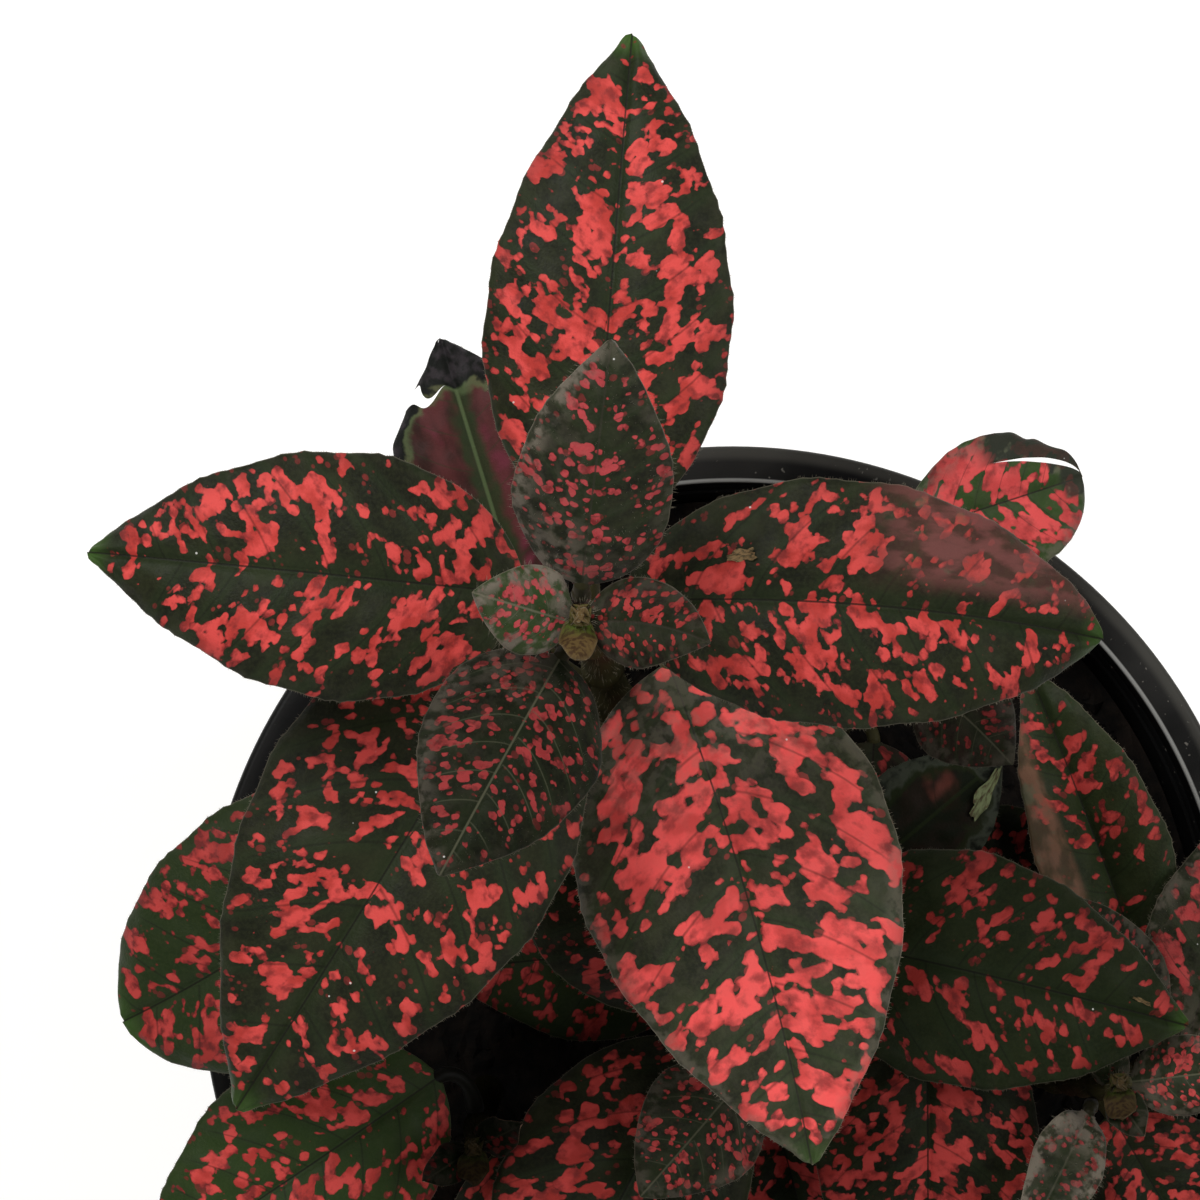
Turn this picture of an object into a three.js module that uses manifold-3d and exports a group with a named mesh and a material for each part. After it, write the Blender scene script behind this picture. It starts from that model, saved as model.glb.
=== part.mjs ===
// Potted polka dot plant: a round nursery pot of soil with eight leafy stems.
// Millimetres, +Z up. The origin is the middle of the pot's flat underside.
// Bearings are degrees anticlockwise from +X, seen from above.

import * as THREE from 'three';
import { mergeVertices } from 'three/addons/utils/BufferGeometryUtils.js';
import Module from 'manifold-3d';

const wasm = await Module();
wasm.setup();

// How far a cutting tool runs past the face that it cuts.
const PAST = 2;

// Pot
const POT_HEIGHT = 95;
const RIM_RADIUS = 60;
const LIP_WIDTH = 4.2;
const LIP_ROUND = 0.8;
const SKIRT_DEPTH = 11;
const SKIRT_TAPER = 0.8;
const FOOT_RADIUS = 42.5;
const WALL = 1.6;
const FLOOR = 2.2;
const LEDGE_HEIGHT = 88;
const LEDGE_STEP = 0.8;
const POT_SIDES = 60;
const DRAIN_HOLES = 6;
const DRAIN_RADIUS = 3.5;
const DRAIN_CIRCLE = 30;
const DRAIN_SIDES = 12;

// Soil
const SOIL_HEIGHT = 84;
const SOIL_GAP = 0.3;
const SOIL_ROUGHNESS = 0.7;
const SOIL_SIDES = 40;
const SOIL_SEED = 7;
const HOLE_GAP = 0.5;
const HOLE_DEPTH = 12;
const HOLE_SIDES = 10;

// Stems
const STEM_SIDES = 7;
const NODE_SWELL = 0.5;
const NODE_REACH = 1.6;
const STEM_GAP = 0.35;
const BUD_WIDTH = 1.25;
const BUD_LENGTH = 2.2;
const BUD_RINGS = 4;

// Leaves
const PETIOLE_RADIUS = 0.9;
const PETIOLE_LIFT = 28;
const PETIOLE_FLATTENING = 0.6;
const SHORT_PETIOLE = 2;
const BLADE_ONSET = 0.15;
const BLADE_HALF = 0.31;
const MIDRIB_HALF = 0.45;
const TIP_SHARE = 0.05;
const LEAST_TIP = 0.6;
const TAPER = 0.9;
const DISH = 0.4;
const FOLD = 0.28;
const WAVE = 0.5;
const WAVES_PER_LEAF = 1.7;
const LARGE_LEAF = 20;
const LARGE_STATIONS = [0, 0.06, 0.16, 0.3, 0.45, 0.61, 0.78, 0.93, 1];
const SMALL_STATIONS = [0, 0.1, 0.28, 0.5, 0.76, 1];
const ACROSS = [-1, -0.5, 0, 0.5, 1];

const POT_COLOUR = 0x17181a;
const SOIL_COLOUR = 0x2a2019;
const STEM_COLOUR = 0x5b5a3c;
const LEAF_GREEN = 0x2c3a2e;
const LEAF_RED = 0xd24b4b;

// Each stem runs from its foot in the soil to its bud, bowed sideways in the middle.
const STEMS = {
  a: { foot: [-12, 27], tip: [-17, 40.3, 182], bow: [-1, 4], radius: [2.4, 1.1] },
  b: { foot: [4, 4], tip: [4, 7, 118], bow: [0, 0.5], radius: [2, 1] },
  c: { foot: [1, -10], tip: [3.5, -5.5, 114], bow: [0, 0], radius: [1.8, 1] },
  d: { foot: [34, -33], tip: [41, -45, 138], bow: [1, -1], radius: [2.3, 1.1] },
  e: { foot: [-28, -14], tip: [-29, -18, 109], bow: [0, 0], radius: [1.9, 1] },
  f: { foot: [0, -42], tip: [-5, -51, 140], bow: [-1, 0], radius: [2.2, 1.1] },
  g: { foot: [36, -12], tip: [41, -10.5, 113], bow: [0, 0], radius: [1.7, 0.9] },
  h: { foot: [12, 28], tip: [16, 36, 128], bow: [0, 1], radius: [1.9, 1] },
};

// Leaves by stem and pair, from the tip down. `at` is the height of the leaf's node on its
// stem. `petiole` is its bearing and length. `blade` is its bearing and how far it swings on
// the way to the tip. `tilt` is the climb of the blade at its base and how far it droops from
// that by the tip. `size` is length and width, `red` the share of the blade that is red,
// `fold` how steeply the two halves rise from the midrib, and a small `taper` a rounder end.
const LEAVES = {
  leaf_a2_up: { at: 173, petiole: [88, 1.5], blade: [83, 0], tilt: [42, 38], size: [25, 15], red: 0.3 },
  leaf_a2_down: { at: 173, petiole: [240, 1.5], blade: [240, 2], tilt: [40, 35], size: [25, 17], red: 0.3 },
  leaf_a3_left: {
    at: 160, petiole: [146, 4.5], blade: [174, 1], tilt: [20, 41], size: [43.5, 24], red: 0.45,
  },
  leaf_a3_right: {
    at: 160, petiole: [36, 2], blade: [3, -15], tilt: [20, 41], size: [48, 24], red: 0.4, taper: 0.75,
  },
  leaf_a4_up: { at: 141, petiole: [90, 9], blade: [86, -1], tilt: [14, 29], size: [51, 25], red: 0.5 },
  leaf_a4_down: {
    at: 141, petiole: [157, 4.5], blade: [240, -3], tilt: [18, 37], size: [58, 32], red: 0.35,
  },
  leaf_a5_right: {
    at: 119, petiole: [380, 5.5], blade: [291, -10], tilt: [26, 39], size: [56, 34], red: 0.52,
  },
  leaf_a5_left: {
    at: 119, petiole: [220, 18], blade: [222, -15], tilt: [14, 43], size: [46, 28], red: 0.28, taper: 0.55,
  },
  leaf_a6_up: { at: 99, petiole: [145, 13], blade: [107, 0], tilt: [20, 27], size: [32, 23], red: 0.15 },
  leaf_a6_down: { at: 99, petiole: [241, 2.5], blade: [262, 0], tilt: [14, 25], size: [26, 16], red: 0.3 },

  leaf_b2_right: {
    at: 111, petiole: [350, 1], blade: [350, -6], tilt: [22, 35], size: [43, 25.5], red: 0.3,
  },
  leaf_b2_left: {
    at: 111, petiole: [178, 1], blade: [178, -42], tilt: [14, 33], size: [28, 22], red: 0.35,
  },
  leaf_b3_down: {
    at: 96, petiole: [364, 20.5], blade: [270, 0], tilt: [14, 27], size: [38, 25], red: 0.36,
  },
  leaf_b3_up: { at: 103, petiole: [30, 10], blade: [40, 0], tilt: [6, 14], size: [20, 14], red: 0.15 },
  leaf_b4_right: { at: 91, petiole: [13, 10], blade: [20, 0], tilt: [12, 21], size: [26, 15], red: 0.4 },
  leaf_b4_left: { at: 92, petiole: [188, 4.5], blade: [186, 0], tilt: [14, 25], size: [30, 20], red: 0.4 },

  leaf_c1_left: { at: 109, petiole: [235, 1], blade: [228, 0], tilt: [22, 20], size: [18, 14], red: 0.3 },
  leaf_c2_left: { at: 101, petiole: [152, 5], blade: [242, 0], tilt: [18, 31], size: [47, 27], red: 0.4 },
  leaf_c2_right: { at: 94, petiole: [300, 2.5], blade: [284, 0], tilt: [16, 27], size: [34, 19], red: 0.5 },

  leaf_d2_left: { at: 129, petiole: [190, 1.5], blade: [194, 0], tilt: [32, 39], size: [22, 14], red: 0.3 },
  leaf_d2_right: { at: 129, petiole: [10, 1.5], blade: [8, 0], tilt: [32, 39], size: [26, 16], red: 0.3 },
  leaf_d3_down: { at: 117, petiole: [282, 6], blade: [284, 0], tilt: [18, 39], size: [40, 23], red: 0.5 },
  leaf_d3_up: { at: 117, petiole: [60, 2.5], blade: [30, 0], tilt: [18, 39], size: [30, 19], red: 0.45 },
  leaf_d4_left: { at: 103, petiole: [220, 7], blade: [232, 0], tilt: [14, 33], size: [38, 23], red: 0.4 },
  leaf_d4_right: { at: 103, petiole: [330, 6], blade: [328, 0], tilt: [14, 33], size: [38, 23], red: 0.45 },

  leaf_e1_left: { at: 99, petiole: [100, 7], blade: [214, 0], tilt: [14, 27], size: [40, 25], red: 0.3 },
  leaf_e1_right: { at: 99, petiole: [310, 1], blade: [285, 0], tilt: [6, 23], size: [26, 16], red: 0.4 },

  leaf_f2_left: { at: 131, petiole: [205, 1.5], blade: [200, 0], tilt: [32, 39], size: [26, 16], red: 0.3 },
  leaf_f2_right: { at: 131, petiole: [25, 1.5], blade: [16, 0], tilt: [32, 39], size: [23, 14], red: 0.3 },
  leaf_f3_down: { at: 118, petiole: [281, 6], blade: [277, 0], tilt: [18, 39], size: [40, 24], red: 0.5 },
  leaf_f3_up: { at: 118, petiole: [145, 4.5], blade: [172, 0], tilt: [18, 39], size: [38, 22], red: 0.45 },
  leaf_f4_left: { at: 100, petiole: [213, 7], blade: [222, 0], tilt: [10, 27], size: [41, 25], red: 0.4 },
  leaf_f4_right: { at: 100, petiole: [326, 7], blade: [322, 0], tilt: [10, 27], size: [34, 21], red: 0.4 },

  leaf_g1_left: {
    at: 108, petiole: [240, 1], blade: [239, 0], tilt: [38, 26], size: [18, 8], red: 0.15, fold: 0.8,
  },
  leaf_g1_right: { at: 107, petiole: [10, 1], blade: [8, 0], tilt: [18, 20], size: [14, 9], red: 0.3 },
  leaf_g2_up: { at: 101, petiole: [18, 10], blade: [120, 0], tilt: [10, 10], size: [16, 9], red: 0.2 },
  leaf_g2_down: { at: 101, petiole: [312, 2], blade: [300, 0], tilt: [16, 29], size: [30, 20], red: 0.5 },
  leaf_g3_up: {
    at: 90, petiole: [32, 15.5], blade: [110, 2], tilt: [12, 20], size: [37, 15], red: 0.33, fold: 0.9,
  },
  leaf_g3_right: { at: 96, petiole: [-9, 12], blade: [75, 0], tilt: [14, 25], size: [30, 16], red: 0.4 },

  leaf_h1_right: {
    at: 121, petiole: [344, 2], blade: [322, -10], tilt: [18, 30], size: [13, 11], red: 0.2,
  },
  leaf_h1_left: { at: 121, petiole: [140, 1], blade: [135, 0], tilt: [18, 24], size: [15, 11], red: 0.3 },
  leaf_h2_right: {
    at: 98, petiole: [98, 20.5], blade: [18, 0], tilt: [14, 20], size: [20.5, 15.5], red: 0.55, taper: 0.45,
  },
  leaf_h2_down: {
    at: 98, petiole: [302, 2.5], blade: [266, 0], tilt: [12, 20], size: [20.5, 15], red: 0.4,
  },
};

// The smallest leaves at each stem's tip, fused to the stem. `drop` is their depth below the tip.
const TIP_LEAVES = {
  a: [
    { drop: 2.5, blade: [163, 0], tilt: [30, 26], size: [10, 8.5] },
    { drop: 2.5, blade: [8, -34], tilt: [24, 22], size: [12, 8.5] },
  ],
  b: [
    { drop: 2.5, blade: [75, 0], tilt: [40, 22], size: [8, 5.5] },
    { drop: 2.5, blade: [255, 0], tilt: [40, 22], size: [8, 5.5] },
  ],
  c: [
    { drop: 2.5, blade: [140, 0], tilt: [45, 20], size: [6, 4] },
    { drop: 2.5, blade: [330, 0], tilt: [36, 24], size: [9, 6] },
  ],
  d: [
    { drop: 2.5, blade: [100, 0], tilt: [34, 26], size: [11, 7.5] },
    { drop: 2.5, blade: [280, 0], tilt: [34, 26], size: [12, 8] },
  ],
  e: [
    { drop: 2.5, blade: [30, 0], tilt: [45, 20], size: [7, 4.5] },
    { drop: 2.5, blade: [210, 0], tilt: [45, 20], size: [7, 4.5] },
  ],
  f: [
    { drop: 2.5, blade: [110, 0], tilt: [34, 26], size: [11, 7.5] },
    { drop: 2.5, blade: [290, 0], tilt: [34, 26], size: [12, 8] },
  ],
  g: [
    { drop: 2.5, blade: [95, 0], tilt: [45, 20], size: [6.5, 4.5] },
    { drop: 2.5, blade: [305, 0], tilt: [45, 20], size: [6.5, 4.5] },
  ],
  h: [
    { drop: 2.5, blade: [40, 0], tilt: [42, 20], size: [7.5, 5] },
    { drop: 2.5, blade: [220, 0], tilt: [42, 20], size: [7.5, 5] },
  ],
};

const radians = THREE.MathUtils.degToRad;
const mix = THREE.MathUtils.lerp;
const polar = (reach, turn, z) => new THREE.Vector3(reach * Math.cos(turn), reach * Math.sin(turn), z);

// A repeatable random number from 0 to 1 for each seed and call.
function seededRandom(seed) {
  let state = seed >>> 0;
  return () => {
    state = (Math.imul(state, 1664525) + 1013904223) >>> 0;
    return state / 4294967296;
  };
}

function toManifold(geometry) {
  const bare = geometry.clone();
  bare.deleteAttribute('normal');
  bare.deleteAttribute('uv');
  const merged = mergeVertices(bare, 1e-4);
  const triVerts = new Uint32Array(merged.index.array);
  const vertProperties = new Float32Array(merged.attributes.position.array);
  return new wasm.Manifold(new wasm.Mesh({ numProp: 3, vertProperties, triVerts }));
}

function toGeometry(solid) {
  const { vertProperties, triVerts } = solid.getMesh();
  const geometry = new THREE.BufferGeometry();
  geometry.setAttribute('position', new THREE.BufferAttribute(new Float32Array(vertProperties), 3));
  geometry.setIndex(new THREE.BufferAttribute(new Uint32Array(triVerts), 1));
  geometry.computeVertexNormals();
  return geometry;
}

function geometryOf(points, triangles) {
  const geometry = new THREE.BufferGeometry();
  const numbers = points.flatMap((point) => point.toArray());
  geometry.setAttribute('position', new THREE.Float32BufferAttribute(numbers, 3));
  geometry.setIndex(triangles);
  geometry.computeVertexNormals();
  return geometry;
}

function node(name, geometry, colour, roughness) {
  const material = new THREE.MeshStandardMaterial({ color: colour, roughness });
  const mesh = new THREE.Mesh(geometry, material);
  mesh.name = name;
  return mesh;
}

// Turned profiles are drawn as radius and height, then stood up on +Z.
function turned(profile, sides) {
  const points = profile.map(([radius, height]) => new THREE.Vector2(radius, height));
  return new THREE.LatheGeometry(points, sides).rotateX(Math.PI / 2);
}

function cylinder(radius, bottom, top, sides) {
  const geometry = new THREE.CylinderGeometry(radius, radius, top - bottom, sides);
  return geometry.rotateX(Math.PI / 2).translate(0, 0, (bottom + top) / 2);
}

// Inner radius of the pot at a height, below the ledge.
function potInside(height) {
  const ledgeRadius = RIM_RADIUS - LIP_WIDTH - LEDGE_STEP;
  return mix(FOOT_RADIUS - WALL, ledgeRadius, (height - FLOOR) / (LEDGE_HEIGHT - FLOOR));
}

function pot() {
  const inner = RIM_RADIUS - LIP_WIDTH;
  const skirtFoot = POT_HEIGHT - SKIRT_DEPTH;
  const edge = LIP_ROUND * (1 - Math.SQRT1_2);
  const grooveTop = POT_HEIGHT - WALL;
  const profile = [
    [0, 0],
    [FOOT_RADIUS - LIP_ROUND, 0],
    [FOOT_RADIUS, LIP_ROUND],
    [potInside(skirtFoot) + WALL, skirtFoot],
    [inner + WALL, grooveTop],
    [RIM_RADIUS - WALL, grooveTop],
    [RIM_RADIUS - WALL - SKIRT_TAPER, skirtFoot],
    [RIM_RADIUS - SKIRT_TAPER, skirtFoot],
    [RIM_RADIUS, POT_HEIGHT - LIP_ROUND],
    [RIM_RADIUS - edge, POT_HEIGHT - edge],
    [RIM_RADIUS - LIP_ROUND, POT_HEIGHT],
    [inner + LIP_ROUND, POT_HEIGHT],
    [inner + edge, POT_HEIGHT - edge],
    [inner, POT_HEIGHT - LIP_ROUND],
    [inner, LEDGE_HEIGHT + LEDGE_STEP],
    [potInside(LEDGE_HEIGHT), LEDGE_HEIGHT],
    [potInside(FLOOR), FLOOR],
    [0, FLOOR],
  ];
  let solid = toManifold(turned(profile, POT_SIDES));
  for (let i = 0; i < DRAIN_HOLES; i++) {
    const bearing = (2 * Math.PI * (i + 0.5)) / DRAIN_HOLES;
    const hole = cylinder(DRAIN_RADIUS, -PAST, FLOOR + PAST, DRAIN_SIDES);
    const { x, y } = polar(DRAIN_CIRCLE, bearing, 0);
    solid = solid.subtract(toManifold(hole.translate(x, y, 0)));
  }
  return node('pot', toGeometry(solid), POT_COLOUR, 0.45);
}

// Centre of a stem at a height. It goes on straight below the soil.
function stemPoint(stem, height) {
  const { foot, tip, bow } = STEMS[stem];
  const t = (height - SOIL_HEIGHT) / (tip[2] - SOIL_HEIGHT);
  const bend = t > 0 ? 4 * t * (1 - t) : 0;
  const lean = Math.max(t, 0);
  return new THREE.Vector3(
    mix(foot[0], tip[0], lean) + bow[0] * bend,
    mix(foot[1], tip[1], lean) + bow[1] * bend,
    height,
  );
}

function stemRadius(stem, height) {
  const { tip, radius } = STEMS[stem];
  const t = THREE.MathUtils.clamp((height - SOIL_HEIGHT) / (tip[2] - SOIL_HEIGHT), 0, 1);
  return mix(radius[0], radius[1], t);
}

// The soil is rough on top, and each stem stands in a plain hole in it.
function soil() {
  const random = seededRandom(SOIL_SEED);
  const bottom = FLOOR + SOIL_GAP;
  const rings = [0.22, 0.45, 0.65, 0.83, 0.95, 1];
  const topRadius = potInside(SOIL_HEIGHT) - SOIL_GAP;
  const points = [new THREE.Vector3(0, 0, SOIL_HEIGHT)];
  for (const ring of rings) {
    for (let i = 0; i < SOIL_SIDES; i++) {
      const bearing = (2 * Math.PI * i) / SOIL_SIDES;
      const bump = ring < 1 ? (random() - 0.5) * 2 * SOIL_ROUGHNESS : 0;
      points.push(polar(topRadius * ring, bearing, SOIL_HEIGHT + bump));
    }
  }
  const bottomRadius = potInside(bottom) - SOIL_GAP;
  for (let i = 0; i < SOIL_SIDES; i++) {
    const bearing = (2 * Math.PI * i) / SOIL_SIDES;
    points.push(polar(bottomRadius, bearing, bottom));
  }
  points.push(new THREE.Vector3(0, 0, bottom));

  const triangles = [];
  const at = (ring, i) => 1 + ring * SOIL_SIDES + (i % SOIL_SIDES);
  const last = points.length - 1;
  for (let i = 0; i < SOIL_SIDES; i++) {
    triangles.push(0, at(0, i), at(0, i + 1));
    for (let ring = 0; ring < rings.length; ring++) {
      triangles.push(at(ring, i), at(ring + 1, i), at(ring + 1, i + 1));
      triangles.push(at(ring, i), at(ring + 1, i + 1), at(ring, i + 1));
    }
    triangles.push(last, at(rings.length, i + 1), at(rings.length, i));
  }
  let solid = toManifold(geometryOf(points, triangles));
  for (const stem of Object.keys(STEMS)) {
    const [x, y] = STEMS[stem].foot;
    const radius = (STEMS[stem].radius[0] + HOLE_GAP) / Math.cos(Math.PI / HOLE_SIDES);
    const hole = cylinder(radius, SOIL_HEIGHT - HOLE_DEPTH, SOIL_HEIGHT + PAST, HOLE_SIDES);
    solid = solid.subtract(toManifold(hole.translate(x, y, 0)));
  }
  return node('soil', toGeometry(solid), SOIL_COLOUR, 0.95);
}

// Half width of a blade along its length, from 0 at the base through 1 to 0 at the tip.
function outline(u, taper) {
  const shoulder = 0.6;
  const widest = shoulder / (shoulder + taper);
  return (u / widest) ** shoulder * ((1 - u) / (1 - widest)) ** taper;
}

// Points and cross directions along a leaf: first the petiole, then the blade. Stations are
// shares of each length, and the blade's first station closes the petiole.
function leafSpine(leaf, start, petioleStations, bladeStations) {
  const [petioleBearing, petioleLength] = leaf.petiole;
  const [bladeBearing, swing] = leaf.blade;
  const [climb, droop] = leaf.tilt;
  const substeps = 6;
  const position = start.clone();
  const stations = [];

  const direction = (u, onBlade) => {
    const bearing = onBlade
      ? bladeBearing + swing * u
      : petioleBearing + (bladeBearing - petioleBearing) * u * u;
    const rise = onBlade ? climb - droop * u : climb + PETIOLE_LIFT * (1 - u);
    const [b, e] = [radians(bearing), radians(rise)];
    const along = new THREE.Vector3(Math.cos(e) * Math.cos(b), Math.cos(e) * Math.sin(b), Math.sin(e));
    return { along, side: new THREE.Vector3(-Math.sin(b), Math.cos(b), 0) };
  };

  const advance = (from, to, length, onBlade) => {
    const step = (to - from) / substeps;
    for (let k = 0; k < substeps; k++) {
      const { along } = direction(from + step * (k + 0.5), onBlade);
      position.addScaledVector(along, length * step);
    }
  };

  const walk = (list, length, onBlade) => {
    list.forEach((u, i) => {
      advance(i > 0 ? list[i - 1] : 0, u, length, onBlade);
      const { along, side } = direction(u, onBlade);
      const up = new THREE.Vector3().crossVectors(along, side);
      stations.push({ point: position.clone(), side, up, u: onBlade ? u : 0, onBlade });
    });
  };
  walk(petioleStations, petioleLength, false);
  advance(petioleStations.at(-1), 1, petioleLength, false);
  walk(bladeStations, leaf.size[0], true);
  return stations;
}

// A leaf is rows of points across its spine, on its upper and its lower face.
function leafGeometry(leaf, start, phase, petioleStations, bladeStations) {
  const fold = leaf.fold ?? FOLD;
  const taper = leaf.taper ?? TAPER;
  const tipHalf = Math.max(LEAST_TIP, TIP_SHARE * leaf.size[1]);
  const rows = leafSpine(leaf, start, petioleStations, bladeStations).map((station) => {
    const { point, side, up, u, onBlade } = station;
    const wide = onBlade ? (leaf.size[1] / 2) * outline(u, taper) : 0;
    const least = mix(PETIOLE_RADIUS, tipHalf, u);
    const half = Math.max(wide, least);
    const spread = onBlade ? THREE.MathUtils.smoothstep(u, 0, BLADE_ONSET) : 0;
    const upper = [];
    const lower = [];
    for (const v of ACROSS) {
      const bend = spread * half * (fold * Math.abs(v) - DISH * v * v);
      const wave = spread * WAVE * v * v * Math.sin(2 * Math.PI * WAVES_PER_LEAF * u + phase + v);
      const round = PETIOLE_RADIUS * (1 - PETIOLE_FLATTENING * v * v);
      const flat = mix(MIDRIB_HALF, BLADE_HALF, Math.abs(v));
      const thick = mix(round, flat, spread);
      const middle = point.clone().addScaledVector(side, half * v).addScaledVector(up, bend + wave);
      upper.push(middle.clone().addScaledVector(up, thick));
      lower.push(middle.clone().addScaledVector(up, -thick));
    }
    return { upper, lower };
  });

  // Both faces are split along the same diagonals, mirrored about the midrib. Each face's
  // points are listed from the leaf's right edge to its left, seen from the base.
  const columns = ACROSS.length;
  const points = rows.flatMap(({ upper, lower }) => [...upper, ...lower]);
  const top = (row, column) => row * 2 * columns + column;
  const under = (row, column) => top(row, column) + columns;
  const triangles = [];
  const quad = (a, b, c, d) => triangles.push(a, b, c, a, c, d);
  for (let row = 0; row + 1 < rows.length; row++) {
    for (let column = 0; column + 1 < columns; column++) {
      const next = column + 1;
      if (ACROSS[column] < 0) {
        quad(top(row, column), top(row + 1, column), top(row + 1, next), top(row, next));
        triangles.push(under(row, column), under(row + 1, next), under(row + 1, column));
        triangles.push(under(row, column), under(row, next), under(row + 1, next));
      } else {
        quad(top(row + 1, column), top(row + 1, next), top(row, next), top(row, column));
        triangles.push(under(row + 1, column), under(row, next), under(row + 1, next));
        triangles.push(under(row + 1, column), under(row, column), under(row, next));
      }
    }
    const far = columns - 1;
    quad(top(row, 0), under(row, 0), under(row + 1, 0), top(row + 1, 0));
    quad(top(row, far), top(row + 1, far), under(row + 1, far), under(row, far));
  }
  const end = rows.length - 1;
  for (let column = 0; column + 1 < columns; column++) {
    const next = column + 1;
    quad(top(0, column), top(0, next), under(0, next), under(0, column));
    quad(top(end, next), top(end, column), under(end, column), under(end, next));
  }
  return geometryOf(points, triangles);
}

// The stem's letter in a leaf's name, such as a in leaf_a2_up.
const stemOf = (name) => name.split('_')[1][0];

// A separate leaf starts a small gap away from the side of its stem.
function leafNode(name, leaf, seed) {
  const stem = stemOf(name);
  const bearing = radians(leaf.petiole[0]);
  const lift = radians(leaf.tilt[0] + PETIOLE_LIFT);
  const clear = stemRadius(stem, leaf.at) + NODE_SWELL + STEM_GAP + PETIOLE_RADIUS * Math.sin(lift);
  const start = stemPoint(stem, leaf.at);
  start.add(polar(clear, bearing, 0));
  const phase = seededRandom(seed)() * 2 * Math.PI;
  const large = leaf.size[0] > LARGE_LEAF;
  const petioleStations = leaf.petiole[1] > SHORT_PETIOLE ? [0, 0.4, 0.75] : [0];
  const bladeStations = large ? LARGE_STATIONS : SMALL_STATIONS;
  const geometry = leafGeometry(leaf, start, phase, petioleStations, bladeStations);
  const colour = new THREE.Color(LEAF_GREEN).lerp(new THREE.Color(LEAF_RED), leaf.red);
  return node(name, geometry, colour, 0.6);
}

// A round bar through a list of centres and radii.
function bar(centres, radii) {
  const points = [];
  centres.forEach((centre, i) => {
    for (let k = 0; k < STEM_SIDES; k++) {
      const turn = (2 * Math.PI * k) / STEM_SIDES;
      points.push(polar(radii[i], turn, 0).add(centre));
    }
  });
  const triangles = [];
  const at = (ring, k) => ring * STEM_SIDES + (k % STEM_SIDES);
  for (let ring = 0; ring + 1 < centres.length; ring++) {
    for (let k = 0; k < STEM_SIDES; k++) {
      triangles.push(at(ring, k), at(ring, k + 1), at(ring + 1, k + 1));
      triangles.push(at(ring, k), at(ring + 1, k + 1), at(ring + 1, k));
    }
  }
  for (let k = 1; k + 1 < STEM_SIDES; k++) {
    triangles.push(at(0, 0), at(0, k + 1), at(0, k));
    triangles.push(at(centres.length - 1, 0), at(centres.length - 1, k), at(centres.length - 1, k + 1));
  }
  return geometryOf(points, triangles);
}

// A stem swells at each pair of leaves and ends in a bud with its smallest leaves.
function stemNode(stem) {
  const tip = STEMS[stem].tip[2];
  const bottom = SOIL_HEIGHT - HOLE_DEPTH + SOIL_GAP;
  const joints = Object.entries(LEAVES)
    .filter(([name]) => stemOf(name) === stem)
    .map(([, leaf]) => leaf.at);
  const heights = new Set([bottom, SOIL_HEIGHT, tip]);
  for (const joint of new Set(joints)) {
    [-NODE_REACH, 0, NODE_REACH].forEach((offset) => heights.add(joint + offset));
  }
  const ordered = [...heights].filter((z) => z <= tip).sort((p, q) => p - q);
  const radii = ordered.map((z) => {
    const swell = joints.includes(z) ? NODE_SWELL : 0;
    return stemRadius(stem, z) + swell;
  });
  let solid = toManifold(bar(ordered.map((z) => stemPoint(stem, z)), radii));

  const topCentre = stemPoint(stem, tip);
  const budRadius = STEMS[stem].radius[1];
  const bud = new THREE.SphereGeometry(1, STEM_SIDES, BUD_RINGS).rotateX(Math.PI / 2);
  bud.scale(budRadius * BUD_WIDTH, budRadius * BUD_WIDTH, budRadius * BUD_LENGTH);
  bud.translate(topCentre.x, topCentre.y, topCentre.z);
  solid = solid.add(toManifold(bud));

  for (const row of TIP_LEAVES[stem]) {
    const leaf = { ...row, petiole: [row.blade[0], budRadius] };
    const start = stemPoint(stem, tip - row.drop);
    const geometry = leafGeometry(leaf, start, row.blade[0], [0], SMALL_STATIONS);
    solid = solid.add(toManifold(geometry));
  }
  // A union can leave loose specks of no volume, and the stem is the largest piece.
  const [body] = solid.decompose().sort((p, q) => q.volume() - p.volume());
  return node(`stem_${stem}`, toGeometry(body), STEM_COLOUR, 0.7);
}

const plant = new THREE.Group();
plant.name = 'potted_polka_dot_plant';
plant.add(pot(), soil());
for (const stem of Object.keys(STEMS)) plant.add(stemNode(stem));
Object.entries(LEAVES).forEach(([name, leaf], i) => plant.add(leafNode(name, leaf, i + 1)));

export default plant;
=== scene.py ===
"""Potted polka dot plant: finer leaves, stems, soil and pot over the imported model.

Lengths in the tables are millimetres, and pieces are made in metres. Bearings are degrees
anticlockwise from +X, seen from above.
"""

import math
import random
from collections import namedtuple

import bmesh
import bpy
import numpy as np
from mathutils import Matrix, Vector, noise


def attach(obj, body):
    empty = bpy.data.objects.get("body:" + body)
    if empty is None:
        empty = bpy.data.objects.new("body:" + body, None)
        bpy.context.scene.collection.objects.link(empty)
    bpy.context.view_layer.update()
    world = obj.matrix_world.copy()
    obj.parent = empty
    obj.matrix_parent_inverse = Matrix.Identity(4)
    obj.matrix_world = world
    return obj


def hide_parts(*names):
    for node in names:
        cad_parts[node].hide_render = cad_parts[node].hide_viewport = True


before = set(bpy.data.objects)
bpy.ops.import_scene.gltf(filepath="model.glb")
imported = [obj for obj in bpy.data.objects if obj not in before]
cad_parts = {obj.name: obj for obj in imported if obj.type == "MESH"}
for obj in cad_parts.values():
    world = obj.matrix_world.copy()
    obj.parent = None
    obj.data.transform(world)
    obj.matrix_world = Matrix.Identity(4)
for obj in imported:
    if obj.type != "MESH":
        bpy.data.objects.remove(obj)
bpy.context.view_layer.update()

MM = 0.001

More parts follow.
